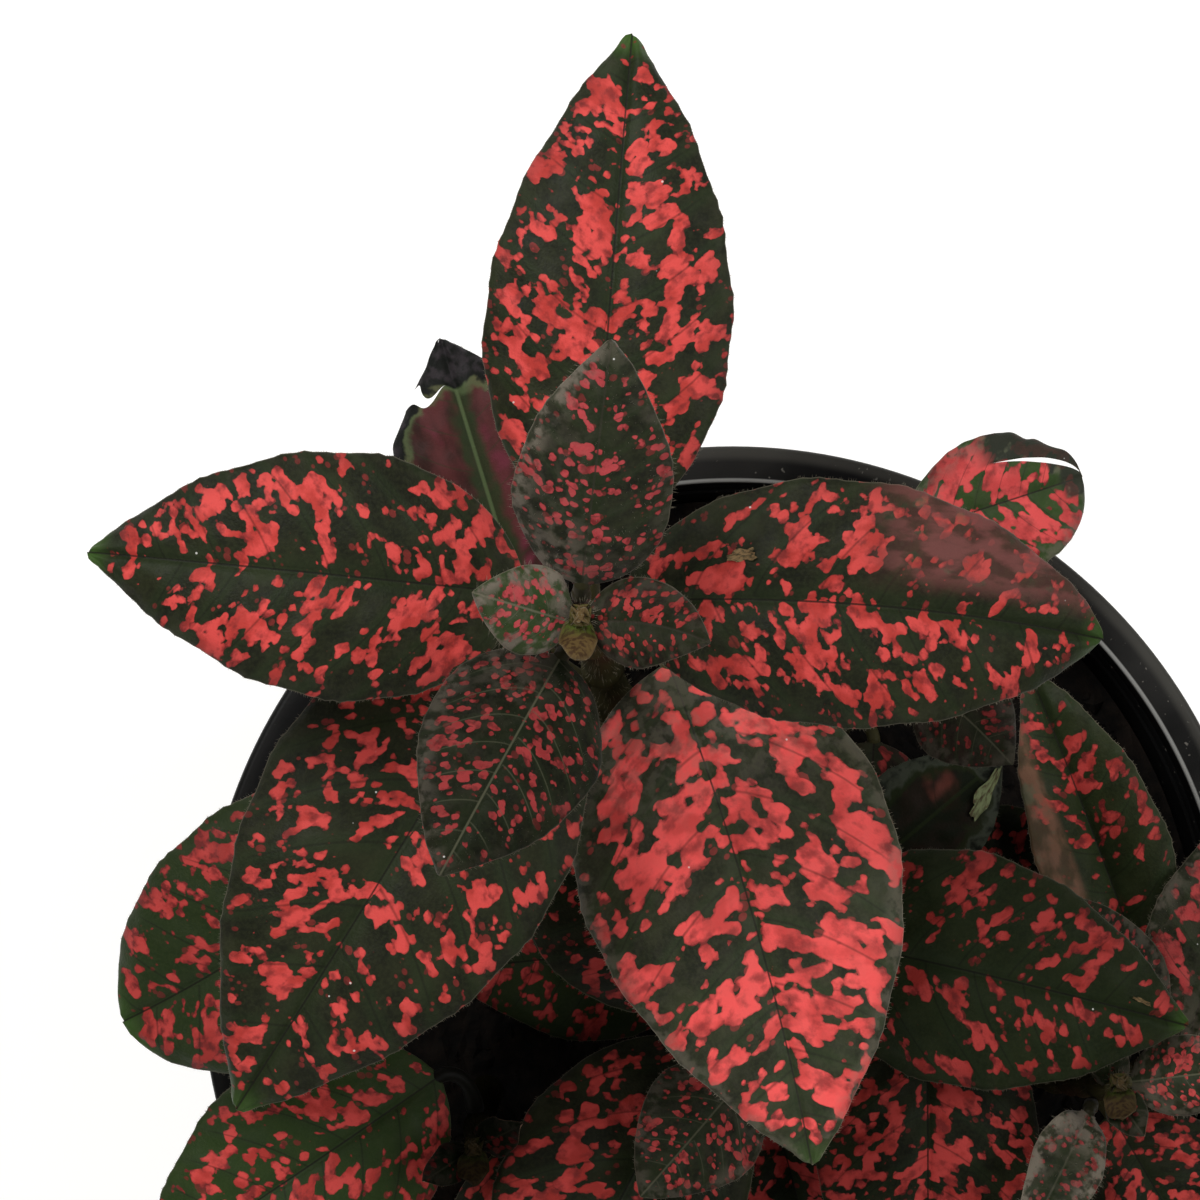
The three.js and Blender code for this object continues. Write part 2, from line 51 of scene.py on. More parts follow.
# Pot and soil
POT_HEIGHT = 95
RIM_RADIUS = 60
LIP_WIDTH = 4.2
LIP_ROUND = 0.8
SKIRT_DEPTH = 11
SKIRT_TAPER = 0.8
FOOT_RADIUS = 42.5
WALL = 1.6
FLOOR = 2.2
LEDGE_HEIGHT = 88
LEDGE_STEP = 0.8
DRAIN_HOLES = 6
DRAIN_RADIUS = 3.5
DRAIN_CIRCLE = 30
SOIL_HEIGHT = 84

# Stems and leaves
HOLE_DEPTH = 12
NODE_SWELL = 0.5
NODE_REACH = 1.6
STEM_GAP = 0.35
PETIOLE_RADIUS = 0.9
PETIOLE_LIFT = 28
BLADE_ONSET = 0.15
DISH = 0.4
FOLD = 0.28
WAVE = 0.5
WAVES_PER_LEAF = 1.7
LARGE_LEAF = 20
TINY_LEAF = 6
TAPER = 0.9

# Camera: straight down, from this place, over this width of the rim's plane.
CAMERA_PLACE = (-15.0, 42.63, 575.0)
FRAME_WIDTH = 135.3
SENSOR = 36.0

# Each stem runs from its foot in the soil to its bud, bowed sideways in the middle. Its two
# radii are at its foot and tip, and its two shades are how much light reaches it and its bud,
# painted into their colours as painted shade.
Stem = namedtuple("Stem", "foot tip bow radii shade bud_shade")
STEMS = {
    "a": Stem((-12, 27), (-17, 40.3, 182), (-1, 4), (2.4, 1.1), 0.35, 0.85),
    "b": Stem((4, 4), (4, 7, 118), (0, 0.5), (2, 1), 0.3, 0.4),
    "c": Stem((1, -10), (3.5, -5.5, 114), (0, 0), (1.8, 1), 0.3, 0.4),
    "d": Stem((34, -33), (41, -45, 138), (1, -1), (2.3, 1.1), 0.7, 0.8),
    "e": Stem((-28, -14), (-29, -18, 109), (0, 0), (1.9, 1), 0.1, 0.12),
    "f": Stem((0, -42), (-5, -51, 140), (-1, 0), (2.2, 1.1), 0.7, 0.8),
    "g": Stem((36, -12), (41, -10.5, 113), (0, 0), (1.7, 0.9), 0.3, 0.35),
    "h": Stem((12, 28), (16, 36, 128), (0, 1), (1.9, 1), 0.3, 0.4),
}

# Leaves by stem and pair, from the tip down. `at` is the height of the leaf's node on its
# stem. `petiole` is its bearing and length. `blade` is its bearing and how far it swings on
# the way to the tip. `tilt` is the climb of the blade at its base and how far it droops from
# that by the tip. `size` is length and width, `red` the share of the blade that is red,
# `fold` how steeply the two halves rise from the midrib, and a small `taper` a rounder end.
Leaf = namedtuple("Leaf", "at petiole blade tilt size red fold taper", defaults=(0, FOLD, TAPER))
LEAVES = {
    "a2_up": Leaf(173, (88, 1.5), (83, 0), (42, 38), (25, 15), 0.22),
    "a2_down": Leaf(173, (240, 1.5), (240, 2), (40, 35), (25, 17), 0.2),
    "a3_left": Leaf(160, (146, 4.5), (174, 1), (20, 41), (43.5, 24), 0.45),
    "a3_right": Leaf(160, (36, 2), (3, -15), (20, 41), (48, 24), 0.4, taper=0.75),
    "a4_up": Leaf(141, (90, 9), (86, -1), (14, 29), (51, 25), 0.56),
    "a4_down": Leaf(141, (157, 4.5), (240, -3), (18, 37), (58, 32), 0.37),
    "a5_right": Leaf(119, (380, 5.5), (291, -10), (26, 39), (56, 34), 0.6),
    "a5_left": Leaf(119, (220, 18), (222, -15), (14, 43), (46, 28), 0.48, taper=0.55),
    "a6_up": Leaf(99, (145, 13), (107, 0), (20, 27), (32, 23), 0.15),
    "a6_down": Leaf(99, (241, 2.5), (262, 0), (14, 25), (26, 16), 0.3),

    "b2_right": Leaf(111, (350, 1), (350, -6), (22, 35), (43, 25.5), 0.3),
    "b2_left": Leaf(111, (178, 1), (178, -42), (14, 33), (28, 22), 0.35),
    "b3_down": Leaf(96, (364, 20.5), (270, 0), (14, 27), (38, 25), 0.5),
    "b3_up": Leaf(103, (30, 10), (40, 0), (6, 14), (20, 14), 0.15),
    "b4_right": Leaf(91, (13, 10), (20, 0), (12, 21), (26, 15), 0.4),
    "b4_left": Leaf(92, (188, 4.5), (186, 0), (14, 25), (30, 20), 0.4),

    "c1_left": Leaf(109, (235, 1), (228, 0), (22, 20), (18, 14), 0.3),
    "c2_left": Leaf(101, (152, 5), (242, 0), (18, 31), (47, 27), 0.4),
    "c2_right": Leaf(94, (300, 2.5), (284, 0), (16, 27), (34, 19), 0.5),

    "d2_left": Leaf(129, (190, 1.5), (194, 0), (32, 39), (22, 14), 0.3),
    "d2_right": Leaf(129, (10, 1.5), (8, 0), (32, 39), (26, 16), 0.3),
    "d3_down": Leaf(117, (282, 6), (284, 0), (18, 39), (40, 23), 0.5),
    "d3_up": Leaf(117, (60, 2.5), (30, 0), (18, 39), (30, 19), 0.45),
    "d4_left": Leaf(103, (220, 7), (232, 0), (14, 33), (38, 23), 0.4),
    "d4_right": Leaf(103, (330, 6), (328, 0), (14, 33), (38, 23), 0.45),

    "e1_left": Leaf(99, (100, 7), (214, 0), (14, 27), (40, 25), 0.34),
    "e1_right": Leaf(99, (310, 1), (285, 0), (6, 23), (26, 16), 0.4),

    "f2_left": Leaf(131, (205, 1.5), (200, 0), (32, 39), (26, 16), 0.3),
    "f2_right": Leaf(131, (25, 1.5), (16, 0), (32, 39), (23, 14), 0.3),
    "f3_down": Leaf(118, (281, 6), (277, 0), (18, 39), (40, 24), 0.5),
    "f3_up": Leaf(118, (145, 4.5), (172, 0), (18, 39), (38, 22), 0.45),
    "f4_left": Leaf(100, (213, 7), (222, 0), (10, 27), (41, 25), 0.4),
    "f4_right": Leaf(100, (326, 7), (322, 0), (10, 27), (34, 21), 0.4),

    "g1_left": Leaf(108, (240, 1), (239, 0), (38, 26), (18, 8), 0.3, fold=0.8),
    "g1_right": Leaf(107, (10, 1), (8, 0), (18, 20), (14, 9), 0.3),
    "g2_up": Leaf(101, (18, 10), (120, 0), (10, 10), (16, 9), 0.2),
    "g2_down": Leaf(101, (312, 2), (300, 0), (16, 29), (30, 20), 0.55),
    "g3_up": Leaf(90, (32, 15.5), (110, 2), (12, 20), (37, 15), 0.25, fold=0.9),
    "g3_right": Leaf(96, (-9, 12), (75, 0), (14, 25), (30, 16), 0.4),

    "h1_right": Leaf(121, (344, 2), (322, -10), (18, 30), (13, 11), 0.0),
    "h1_left": Leaf(121, (140, 1), (135, 0), (18, 24), (15, 11), 0.3),
    "h2_right": Leaf(98, (98, 20.5), (18, 0), (14, 20), (20.5, 15.5), 0.85, taper=0.45),
    "h2_down": Leaf(98, (302, 2.5), (266, 0), (12, 20), (20.5, 15), 0.5),
}

# The two smallest leaves of each stem, a little below its tip: `blade`, `tilt` and `size`.
TIP_DROP = 2.5
TIP_RED = 0.35
TIP_LEAVES = {
    "a": (((163, 0), (30, 26), (10, 8.5)), ((8, -34), (24, 22), (12, 8.5))),
    "b": (((75, 0), (40, 22), (8, 5.5)), ((255, 0), (40, 22), (8, 5.5))),
    "c": (((140, 0), (45, 20), (6, 4)), ((330, 0), (36, 24), (9, 6))),
    "d": (((100, 0), (34, 26), (11, 7.5)), ((280, 0), (34, 26), (12, 8))),
    "e": (((30, 0), (45, 20), (7, 4.5)), ((210, 0), (45, 20), (7, 4.5))),
    "f": (((110, 0), (34, 26), (11, 7.5)), ((290, 0), (34, 26), (12, 8))),
    "g": (((95, 0), (45, 20), (6.5, 4.5)), ((305, 0), (45, 20), (6.5, 4.5))),
    "h": (((40, 0), (42, 20), (7.5, 5)), ((220, 0), (42, 20), (7.5, 5))),
}

# How a leaf looks. `grain` is the size of its splashes and `lump` how far they part into round
# dots, `grey` its hairy bloom, `dim` how far the red fades, `tip` its green tip, `green` how
# light its green is, `shade` how deep in the plant it sits, painted into all its colours as
# painted shade and above 1 as painted light, `pale` how far its veins show pale, `ground` its
# two darkest colours, and `stalk` how light its petiole is, as painted shade. `sheen` and `scuff`
# are the side, 1 for left and -1 for right, where its bloom is a stronger painted sheen and where
# it is marked, and `worn` is the kind of mark: a painted pink sheen, a folded strip or a dead
# margin. `scrap` is the colour of a scrap that lies on it.
GROWN = dict(
    grain=1.0, lump=0.2, grey=0.05, dim=0.0, tip=0.6, green=0.05, shade=1.0, pale=0.0,
    ground="green", stalk=0.5, sheen=0, scuff=0, worn="pink", scrap="brown",
)
YOUNG = {**GROWN, "grain": 0.75, "lump": 0.45, "grey": 0.5, "dim": 0.15, "tip": 0.0, "pale": 0.6}
OLD = {**GROWN, "grain": 1.4, "grey": 0.2, "dim": 0.6, "tip": 0.2, "green": 0.4, "shade": 0.7}
YOUNG_LEAVES = (
    "a2_up", "a2_down", "c1_left", "d2_left", "d2_right", "f2_left", "f2_right",
    "g1_left", "g1_right", "g2_up", "h1_right", "h1_left",
)
OLD_LEAVES = ("a6_up", "b3_up")
LOOKS = {
    "a2_up": dict(grey=1.1, pale=0.15, grain=0.9, sheen=1, shade=0.85, stalk=0.3),
    "a2_down": dict(grey=0.7, shade=0.5, grain=0.85, pale=1.0, dim=0.1, sheen=-1, stalk=0.3),
    "a3_left": dict(tip=0.9, shade=0.95),
    "a3_right": dict(shade=0.8, scuff=1),
    "a4_up": dict(tip=1.0),
    "a4_down": dict(shade=0.85, grain=1.1),
    "a5_right": dict(grain=1.5, tip=0.3, shade=1.45, grey=0.32),
    "a5_left": dict(grain=1.1, dim=0.35, green=0.5, shade=0.9),
    "a6_down": dict(shade=0.5),
    "b2_right": dict(shade=0.56, tip=1.0, grain=1.2, green=0.3, dim=0.1),
    "b2_left": dict(shade=0.6),
    "b3_down": dict(shade=0.58, grain=1.1),
    "b3_up": dict(shade=0.5, stalk=0.3, scrap="green"),
    "b4_right": dict(shade=0.5),
    "b4_left": dict(green=0.5, dim=0.2, shade=0.65),
    "c1_left": dict(shade=0.7),
    "c2_left": dict(shade=0.75, grain=1.2),
    "c2_right": dict(shade=0.6),
    "e1_left": dict(green=0.8, dim=0.1, shade=0.85, grain=1.1, stalk=0.03),
    "g1_left": dict(shade=0.85, grey=1.2, pale=0.3, dim=0.6, stalk=0.2),
    "g2_up": dict(shade=0.6),
    "g2_down": dict(shade=0.75),
    "g3_up": dict(green=0.2, dim=0.3, scuff=1, worn="strip", grain=1.1),
    "g3_right": dict(grey=0.6, dim=0.3, shade=0.8),
    "h1_right": dict(shade=0.4, ground="brown", dim=0.7),
    "h2_right": dict(grain=1.2, green=1.1, grey=0.5, tip=0.0, scuff=1, worn="dead"),
    "h2_down": dict(dim=0.5, shade=0.8, ground="brown"),
}
TIP_LOOKS = {
    "a": (
        dict(grey=1.2, green=0.9, shade=0.85, pale=0.8, grain=0.65),
        dict(grey=0.25, ground="brown", shade=0.6, green=0.1, pale=0.2, grain=0.65),
    ),
}

# Torn leaves. A slit runs across the blade at a share of its length, or along it at a share of
# its half width. It is closed as far as `start` and `gap` wide, in shares, where it comes out,
# and `turn` is how far it bends off that line.
# The margin is ragged beyond `ragged`, a share of the length, by up to `bite` millimetres.
TEARS = {
    "a6_up": dict(way="across", at=0.82, start=0.1, gap=0.06, turn=0, ragged=0.6, bite=1.4),
    "h2_right": dict(way="along", at=0.6, start=0.55, gap=0.15, turn=-0.5, ragged=0.72, bite=2.4),
}

# Scraps of dry tissue lying on leaves: place along and across the blade, size in millimetres.
SCRAPS = {
    "a3_right": dict(u=0.25, v=0.4, size=1.3),
    "b2_right": dict(u=0.86, v=0.25, size=1.0),
    "b3_up": dict(u=0.8, v=-0.45, size=2.9),
}


def srgb(red, green, blue):
    """A colour given in sRGB, as the linear numbers that a shader takes."""
    def linear(value):
        share = value / 255
        return share / 12.92 if share <= 0.04045 else ((share + 0.055) / 1.055) ** 2.4
    return (linear(red), linear(green), linear(blue), 1.0)


def mix(start, end, share):
    return start + (end - start) * share


def smoothstep(value, start, end):
    share = np.clip((value - start) / (end - start), 0, 1)
    return share * share * (3 - 2 * share)


def repeatable(seed):
    """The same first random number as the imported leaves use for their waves."""
    state = (seed * 1664525 + 1013904223) & 0xFFFFFFFF
    return state / 4294967296


def with_painted_shade(colour, shade):
    """The colour scaled by painted shade: darker deeper in the plant, lighter for a shade above 1."""
    return (*(value * shade for value in colour[:3]), 1.0)


class Shader:
    """Builds a material's nodes with few words. Its shade is how much light reaches the piece."""

    def __init__(self, name, shade=1.0):
        self.shade = shade
        self.material = bpy.data.materials.new(name)
        self.material.use_nodes = True
        self.tree = self.material.node_tree
        self.surface = self.tree.nodes["Principled BSDF"]

    # Painted shade: the colour scaled by how much light reaches the piece.
    def tint(self, colour, share=1.0):
        return with_painted_shade(colour, self.shade * share)

    def put(self, socket, value):
        if isinstance(value, bpy.types.NodeSocket):
            self.tree.links.new(value, socket)
        else:
            socket.default_value = value

    def node(self, kind, inputs=(), **settings):
        made = self.tree.nodes.new(kind)
        for name, value in settings.items():
            setattr(made, name, value)
        for key, value in dict(inputs).items():
            self.put(made.inputs[key], value)
        return made

    def math(self, operation, first, second=0.0, third=0.0, clamp=False):
        return self.node(
            "ShaderNodeMath", {0: first, 1: second, 2: third}, operation=operation, use_clamp=clamp
        ).outputs[0]

    def plus(self, first, *others):
        for other in others:
            first = self.math("ADD", first, other)
        return first

    def minus(self, first, second):
        return self.math("SUBTRACT", first, second)

    def times(self, first, *others):
        for other in others:
            first = self.math("MULTIPLY", first, other)
        return first

    def size(self, value):
        return self.math("ABSOLUTE", value)

    def vector(self, operation, first, second):
        return self.node("ShaderNodeVectorMath", {0: first, 1: second}, operation=operation).outputs[0]

    def read(self, name):
        """Three numbers that were painted on the piece, as one vector."""
        return self.node("ShaderNodeAttribute", attribute_name=name).outputs["Vector"]

    def belongs(self, face, part):
        """1 where the third number of `look` names the part, else 0."""
        return self.math("COMPARE", face, part, 0.1)

    def object_place(self):
        return self.node("ShaderNodeTexCoord").outputs["Object"]

    def cells(self, place, scale, randomness=1.0):
        inputs = {"Vector": place, "Scale": scale, "Randomness": randomness}
        return self.node("ShaderNodeTexVoronoi", inputs).outputs

    def noise(self, place, scale, detail=2.0, output=0):
        inputs = {"Vector": place, "Scale": scale, "Detail": detail}
        return self.node("ShaderNodeTexNoise", inputs).outputs[output]

    def step(self, value, start, end, low=0.0, high=1.0):
        inputs = {"Value": value, "From Min": start, "From Max": end, "To Min": low, "To Max": high}
        return self.node("ShaderNodeMapRange", inputs, interpolation_type="SMOOTHSTEP").outputs[0]

    def blend(self, share, first, second):
        made = self.node("ShaderNodeMix", data_type="RGBA")
        self.put(made.inputs[0], share)
        self.put(made.inputs[6], first)
        self.put(made.inputs[7], second)
        return made.outputs[2]

    def layers(self, colour, *layers):
        """The colour with others over it, each as a pair of its cover and its colour."""
        for cover, tone in layers:
            colour = self.blend(cover, colour, tone)
        return colour

    def split(self, value):
        return self.node("ShaderNodeSeparateXYZ", {0: value}).outputs

    def bump(self, height, distance, strength=1.0):
        inputs = {"Height": height, "Distance": distance, "Strength": strength}
        self.put(self.surface.inputs["Normal"], self.node("ShaderNodeBump", inputs).outputs[0])

    def set(self, **values):
        for name, value in values.items():
            self.put(self.surface.inputs[name.replace("_", " ")], value)
        return self.material


def add_object(name, data):
    made = bpy.data.objects.new(name, data)
    bpy.context.scene.collection.objects.link(made)
    return made


def mesh_piece(name, points, faces, material, smooth=True):
    mesh = bpy.data.meshes.new(name)
    mesh.from_pydata(points, [], faces)
    mesh.update()
    if smooth:
        mesh.shade_smooth()
    mesh.materials.append(material)
    return add_object(name, mesh)


def paint(piece, name, values):
    """Stores three numbers at each point of a piece, for its material to read."""
    layer = piece.data.attributes.new(name, "FLOAT_VECTOR", "POINT")
    layer.data.foreach_set("vector", values.astype(np.float32).ravel())


def dress(piece, slot, *nodes):
    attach(piece, "root")
    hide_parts(*nodes)
    return piece


# The `place` of a point is its distance along and across the blade and its count in veins. Its
# `look` is its distance from the margin, its share along the blade and what it belongs to.
# Stalks, hairs and scraps count as far from any margin and near the base.
LOWER = 0.0
SCRAP_PART = 0.2
STALK_PART = 0.5
HAIR_PART = 0.8
UPPER = 1.0
SCRAP_LOOK, STALK_LOOK, HAIR_LOOK = ((9, 0.1, part) for part in (SCRAP_PART, STALK_PART, HAIR_PART))


class Shape:
    """Points, faces and paint gathered before they become one mesh."""

    def __init__(self):
        self.points, self.faces, self.place, self.look = [], [], [], []
        self.count = 0

    def add(self, points, faces, place, look):
        self.points.append(points)
        self.faces += [[int(i) + self.count for i in face] for face in faces]
        self.place.append(np.broadcast_to(place, points.shape))
        self.look.append(np.broadcast_to(look, points.shape))
        self.count += len(points)

    def piece(self, name, material):
        made = mesh_piece(name, np.concatenate(self.points) * MM, self.faces, material)
        paint(made, "place", np.concatenate(self.place))
        paint(made, "look", np.concatenate(self.look))
        return made


# Forms of stems and leaves

def outline(u, taper):
    """Half width along the blade, from 0 at the base through 1 to 0 at the tip."""
    shoulder = 0.6
    widest = shoulder / (shoulder + taper)
    return (u / widest) ** shoulder * ((1 - u) / (1 - widest)) ** taper


def unit(vectors):
    return vectors / np.linalg.norm(vectors, axis=1, keepdims=True)


def heading(bearing, rise):
    """Directions ahead, to the left and up, for a bearing and a climb in degrees."""
    b, e = np.radians(bearing), np.radians(rise)
    along = np.stack([np.cos(e) * np.cos(b), np.cos(e) * np.sin(b), np.sin(e)], axis=-1)
    side = np.stack([-np.sin(b), np.cos(b), 0 * b], axis=-1)
    return along, side, np.cross(along, side)


def walk(start, stations, length, turn):
    """Points at the stations of a path whose direction at each share u is turn(u)."""
    steps = 240
    middles = (np.arange(steps) + 0.5) / steps
    along = heading(*turn(middles))[0] * (length / steps)
    path = np.vstack([np.zeros(3), np.cumsum(along, axis=0)])
    shares = np.arange(steps + 1) / steps
    columns = [np.interp(stations, shares, column) for column in path.T]
    return start + np.stack(columns, axis=-1)


def stem_point(stem, height):
    share = max((height - SOIL_HEIGHT) / (stem.tip[2] - SOIL_HEIGHT), 0)
    bend = 4 * share * (1 - share)
    x, y = (mix(stem.foot[k], stem.tip[k], share) + stem.bow[k] * bend for k in (0, 1))
    return np.array([x, y, height])


def stem_radius(stem, height):
    share = (height - SOIL_HEIGHT) / (stem.tip[2] - SOIL_HEIGHT)
    return mix(*stem.radii, min(max(share, 0), 1))


def ring_faces(first, rings, sides):
    """The faces between rings of points, which are numbered on from the first."""
    faces = []
    for near in range(first, first + (rings - 1) * sides, sides):
        for k in range(sides):
            step = (k + 1) % sides
            faces.append((near + k, near + k + sides, near + step + sides, near + step))
    return faces


def tube(shape, centres, along, side, radii, look, sides=10):
    """A closed tube along the centres, with flat ends."""
    up = np.cross(along, side)
    turns = 2 * np.pi * np.arange(sides) / sides
    rings = [
        centre + radius * (np.outer(np.cos(turns), s) + np.outer(np.sin(turns), n))
        for centre, radius, s, n in zip(centres, radii, side, up)
    ]
    last = (len(rings) - 1) * sides
    ends = [range(sides), range(last + sides - 1, last - 1, -1)]
    shape.add(np.concatenate(rings), ring_faces(0, len(rings), sides) + ends, (0, 0, 0.5), look)


def needles(shape, roots, tips, width):
    """Thin three-sided hairs."""
    roots, tips = np.asarray(roots), np.asarray(tips)
    across = unit(np.cross(tips - roots, (0.3, 0.5, 0.8)))
    other = unit(np.cross(tips - roots, across))
    corners = [roots + width * (math.cos(t) * across + math.sin(t) * other) for t in (0, 2.1, 4.2)]
    points = np.stack([*corners, tips], axis=1).reshape(-1, 3)
    faces = []
    for i in range(len(roots)):
        a, b, c, d = (4 * i + k for k in range(4))
        faces += [(a, b, d), (b, c, d), (c, a, d), (a, c, b)]
    shape.add(points, faces, (0, 0, 0.5), HAIR_LOOK)


class Blade:
    """One leaf: its spine, and its surface as a function of u along and v across."""

    def __init__(self, leaf, start, phase, seed, grey, tear=None):
        self.length, self.width = leaf.size
        self.fold, self.taper = leaf.fold, leaf.taper
        self.start = start
        self.phase = phase
        self.seed = seed
        self.grey = grey
        self.tear = tear
        self.random = random.Random(seed)
        self.relief = min(1, self.length / 40)
        climb, droop = leaf.tilt
        blade_bearing, swing = leaf.blade
        petiole_bearing, self.petiole_length = leaf.petiole
        self.petiole_turn = lambda u: (
            petiole_bearing + (blade_bearing - petiole_bearing) * u * u,
            climb + PETIOLE_LIFT * (1 - u),
        )
        self.blade_turn = lambda u: (blade_bearing + swing * u, climb - droop * u)
        self.base = walk(start, np.array([1.0]), self.petiole_length, self.petiole_turn)[0]

    def half_width(self, u):
        """Half width, no less than the petiole's at the base and rounded off at the tip."""
        wide = self.width / 2 * outline(u, self.taper)
        left = (1 - u) * self.length
        blunt = mix(0.9, 0.065 * self.width, u)
        return np.maximum(wide, np.minimum(blunt, 1.2 * np.sqrt(left * self.width / 25)))

    def crinkle(self, u, side):
        """The margin's small rounded teeth, in millimetres."""
        along = u * self.length
        teeth = np.sin(2 * np.pi * along / 1.9 + 1.3 * np.sin(along / 2.7) + self.phase + side)
        drift = np.sin(2 * np.pi * along / 9.1 + 2 * self.phase - side)
        reach = smoothstep(u, 0.08, 0.25) * (1 - smoothstep(u, 0.93, 1))
        margin = self.relief * reach * (0.06 * teeth * (1 + 0.6 * drift) + 0.16 * drift)
        if self.tear:
            start = self.tear["ragged"]
            ragged = smoothstep(u, start - 0.1, start + 0.1) * (1 - u ** 8) * (side > 0)
            uneven = np.sin(21 * u + 2 * side) + 0.7 * np.sin(43 * u)
            margin = margin - self.tear["bite"] * ragged * (0.5 + 0.25 * uneven)
        return margin

    def veins(self, u, v):
        """Which lateral vein a point is near, counted along the midrib in veins."""
        across = np.abs(v) * self.half_width(u)
        reach = self.width / 2
        back = 0.85 * across * (0.45 + 0.55 * across / reach)
        spacing = self.length / (8 if self.length > LARGE_LEAF else 6)
        stagger = np.where(v > 0, 0.35, 0)
        return (u * self.length - back) / spacing + stagger

    def surface(self, u, v, lift):
        """A point of the blade. lift is 1 on the upper face and -1 on the lower one."""
        centre = walk(self.base, u, self.length, self.blade_turn)
        along, side, up = heading(*self.blade_turn(u))
        half = self.half_width(u)
        spread = smoothstep(u, 0, BLADE_ONSET)
        bend = spread * half * (self.fold * np.abs(v) - DISH * v * v)
        wave = spread * WAVE * v * v * np.sin(2 * np.pi * WAVES_PER_LEAF * u + self.phase + v)
        vein = self.veins(u, v)
        inner = smoothstep(np.abs(v), 0.04, 0.25) * (1 - smoothstep(np.abs(v), 0.8, 1))
        pillow = 0.24 * inner * (np.abs(np.sin(np.pi * vein)) ** 0.6 - 0.5)
        ripple = 0.12 * inner * np.sin(47.7 * u + 3 * v + self.phase) * np.sin(7.7 * v + self.seed)
        groove = -0.28 * np.exp(-((v * half) / 0.35) ** 2)
        thickness = mix(0.22, 0.07, np.abs(v) ** 3)
        relief = self.relief * spread * (pillow + ripple + groove)
        height = bend + wave + relief + lift * thickness
        reach = half * v + np.sign(v) * np.abs(v) ** 4 * self.crinkle(u, np.sign(v))
        return centre + side * reach[:, None] + up * height[:, None]

    def grid(self):
        """The blade's points as shares along and across it, and which cells between them exist."""
        rows, columns = (76, 44) if self.length > LARGE_LEAF else (44, 26)
        if self.length < TINY_LEAF:
            rows, columns = (16, 10)
        share = np.linspace(0, 1, rows)
        u = mix(share, smoothstep(share, 0, 1), 0.55)
        spread = np.linspace(-1, 1, columns + 1)
        v = np.sign(spread) * np.abs(spread) ** 1.15
        if not self.tear:
            return (*np.meshgrid(u, v, indexing="ij"), np.ones((rows - 1, columns), dtype=bool))

        # The line of the slit is doubled, and its two copies are drawn apart.
        tear, at, start = self.tear, self.tear["at"], self.tear["start"]
        across = tear["way"] == "across"
        lines, run = (u, v) if across else (v, u)
        lines = np.sort(np.append(lines, (at, at)))
        first = np.flatnonzero(lines == at)[0]
        moving, crossing = np.meshgrid(lines, run, indexing="ij")
        sides = np.where(np.arange(len(lines)) <= first, -1, 1)[:, None]
        opening = tear["gap"] / 2 * smoothstep(crossing, start, 1)
        wander = 0.02 * np.sin(9 * crossing) + tear["turn"] * np.maximum(crossing - start, 0)
        near = np.exp(-(((moving - at) / 0.14) ** 2))
        wide = np.exp(-(((moving - at) / 0.36) ** 2))
        bent = wide * wander * smoothstep(crossing, start - 0.3, start)
        moved = moving + bent + near * sides * opening
        exists = np.ones((len(lines) - 1, len(run) - 1), dtype=bool)
        exists[first, (run[1:] + run[:-1]) / 2 > start] = False
        if across:
            return np.clip(moved, 0, 1), crossing, exists
        return crossing.T, moved.T, exists.T

    def add_to(self, shape):
        down, over, exists = self.grid()
        u, v = down.ravel(), over.ravel()
        number = np.arange(down.size).reshape(down.shape)
        inside = np.pad(exists, 1)
        faces = []
        for i, j in np.argwhere(exists):
            a, b, c, d = number[i, j], number[i + 1, j], number[i + 1, j + 1], number[i, j + 1]
            faces += [(a, b, c, d), [k + down.size for k in (a, d, c, b)]]
            walls = ((a, b, i + 1, j), (b, c, i + 2, j + 1), (c, d, i + 1, j + 2), (d, a, i, j + 1))
            for near, far, row, column in walls:
                if not inside[row, column]:
                    faces.append((far, near, near + down.size, far + down.size))

        half = self.half_width(u)
        place = np.stack([u * self.length, v * half, self.veins(u, v)], axis=-1)
        margin = np.minimum(half * (1 - np.abs(v)), (1 - u) * self.length)
        looks = [np.stack([margin, u, np.full_like(u, face)], axis=-1) for face in (UPPER, LOWER)]
        points = [self.surface(u, v, lift) for lift in (1, -1)]
        shape.add(
            np.concatenate(points), faces, np.concatenate([place, place]), np.concatenate(looks)
        )
        self.add_rib(shape)
        self.add_hairs(shape)

    def add_rib(self, shape):
        """The petiole, which runs on under the blade as its raised midrib."""
        rib = np.linspace(0.02, 0.97, 26)
        along, side, up = heading(*self.blade_turn(rib))
        centres = walk(self.base, rib, self.length, self.blade_turn)
        radii = mix(0.75, 0.16, rib ** 0.7) * min(1, 0.45 + self.length / 60)
        centres = centres - up * (radii + 0.1)[:, None]

        stalk = np.linspace(0, 1, 12)
        stalk_along, stalk_side, _ = heading(*self.petiole_turn(stalk))
        stalk_centres = walk(self.start, stalk, self.petiole_length, self.petiole_turn)
        stalk_radii = mix(1.05, 0.85, smoothstep(stalk, 0, 0.4)) * min(1, 0.6 + self.length / 80)
        root = self.start - stalk_along[0]
        centres = np.vstack([root, stalk_centres, centres])
        along = np.vstack([stalk_along[0], stalk_along, along])
        side = np.vstack([stalk_side[0], stalk_side, side])
        radii = np.concatenate([[stalk_radii[0]], stalk_radii, radii])
        tube(shape, centres, along, side, radii, STALK_LOOK)

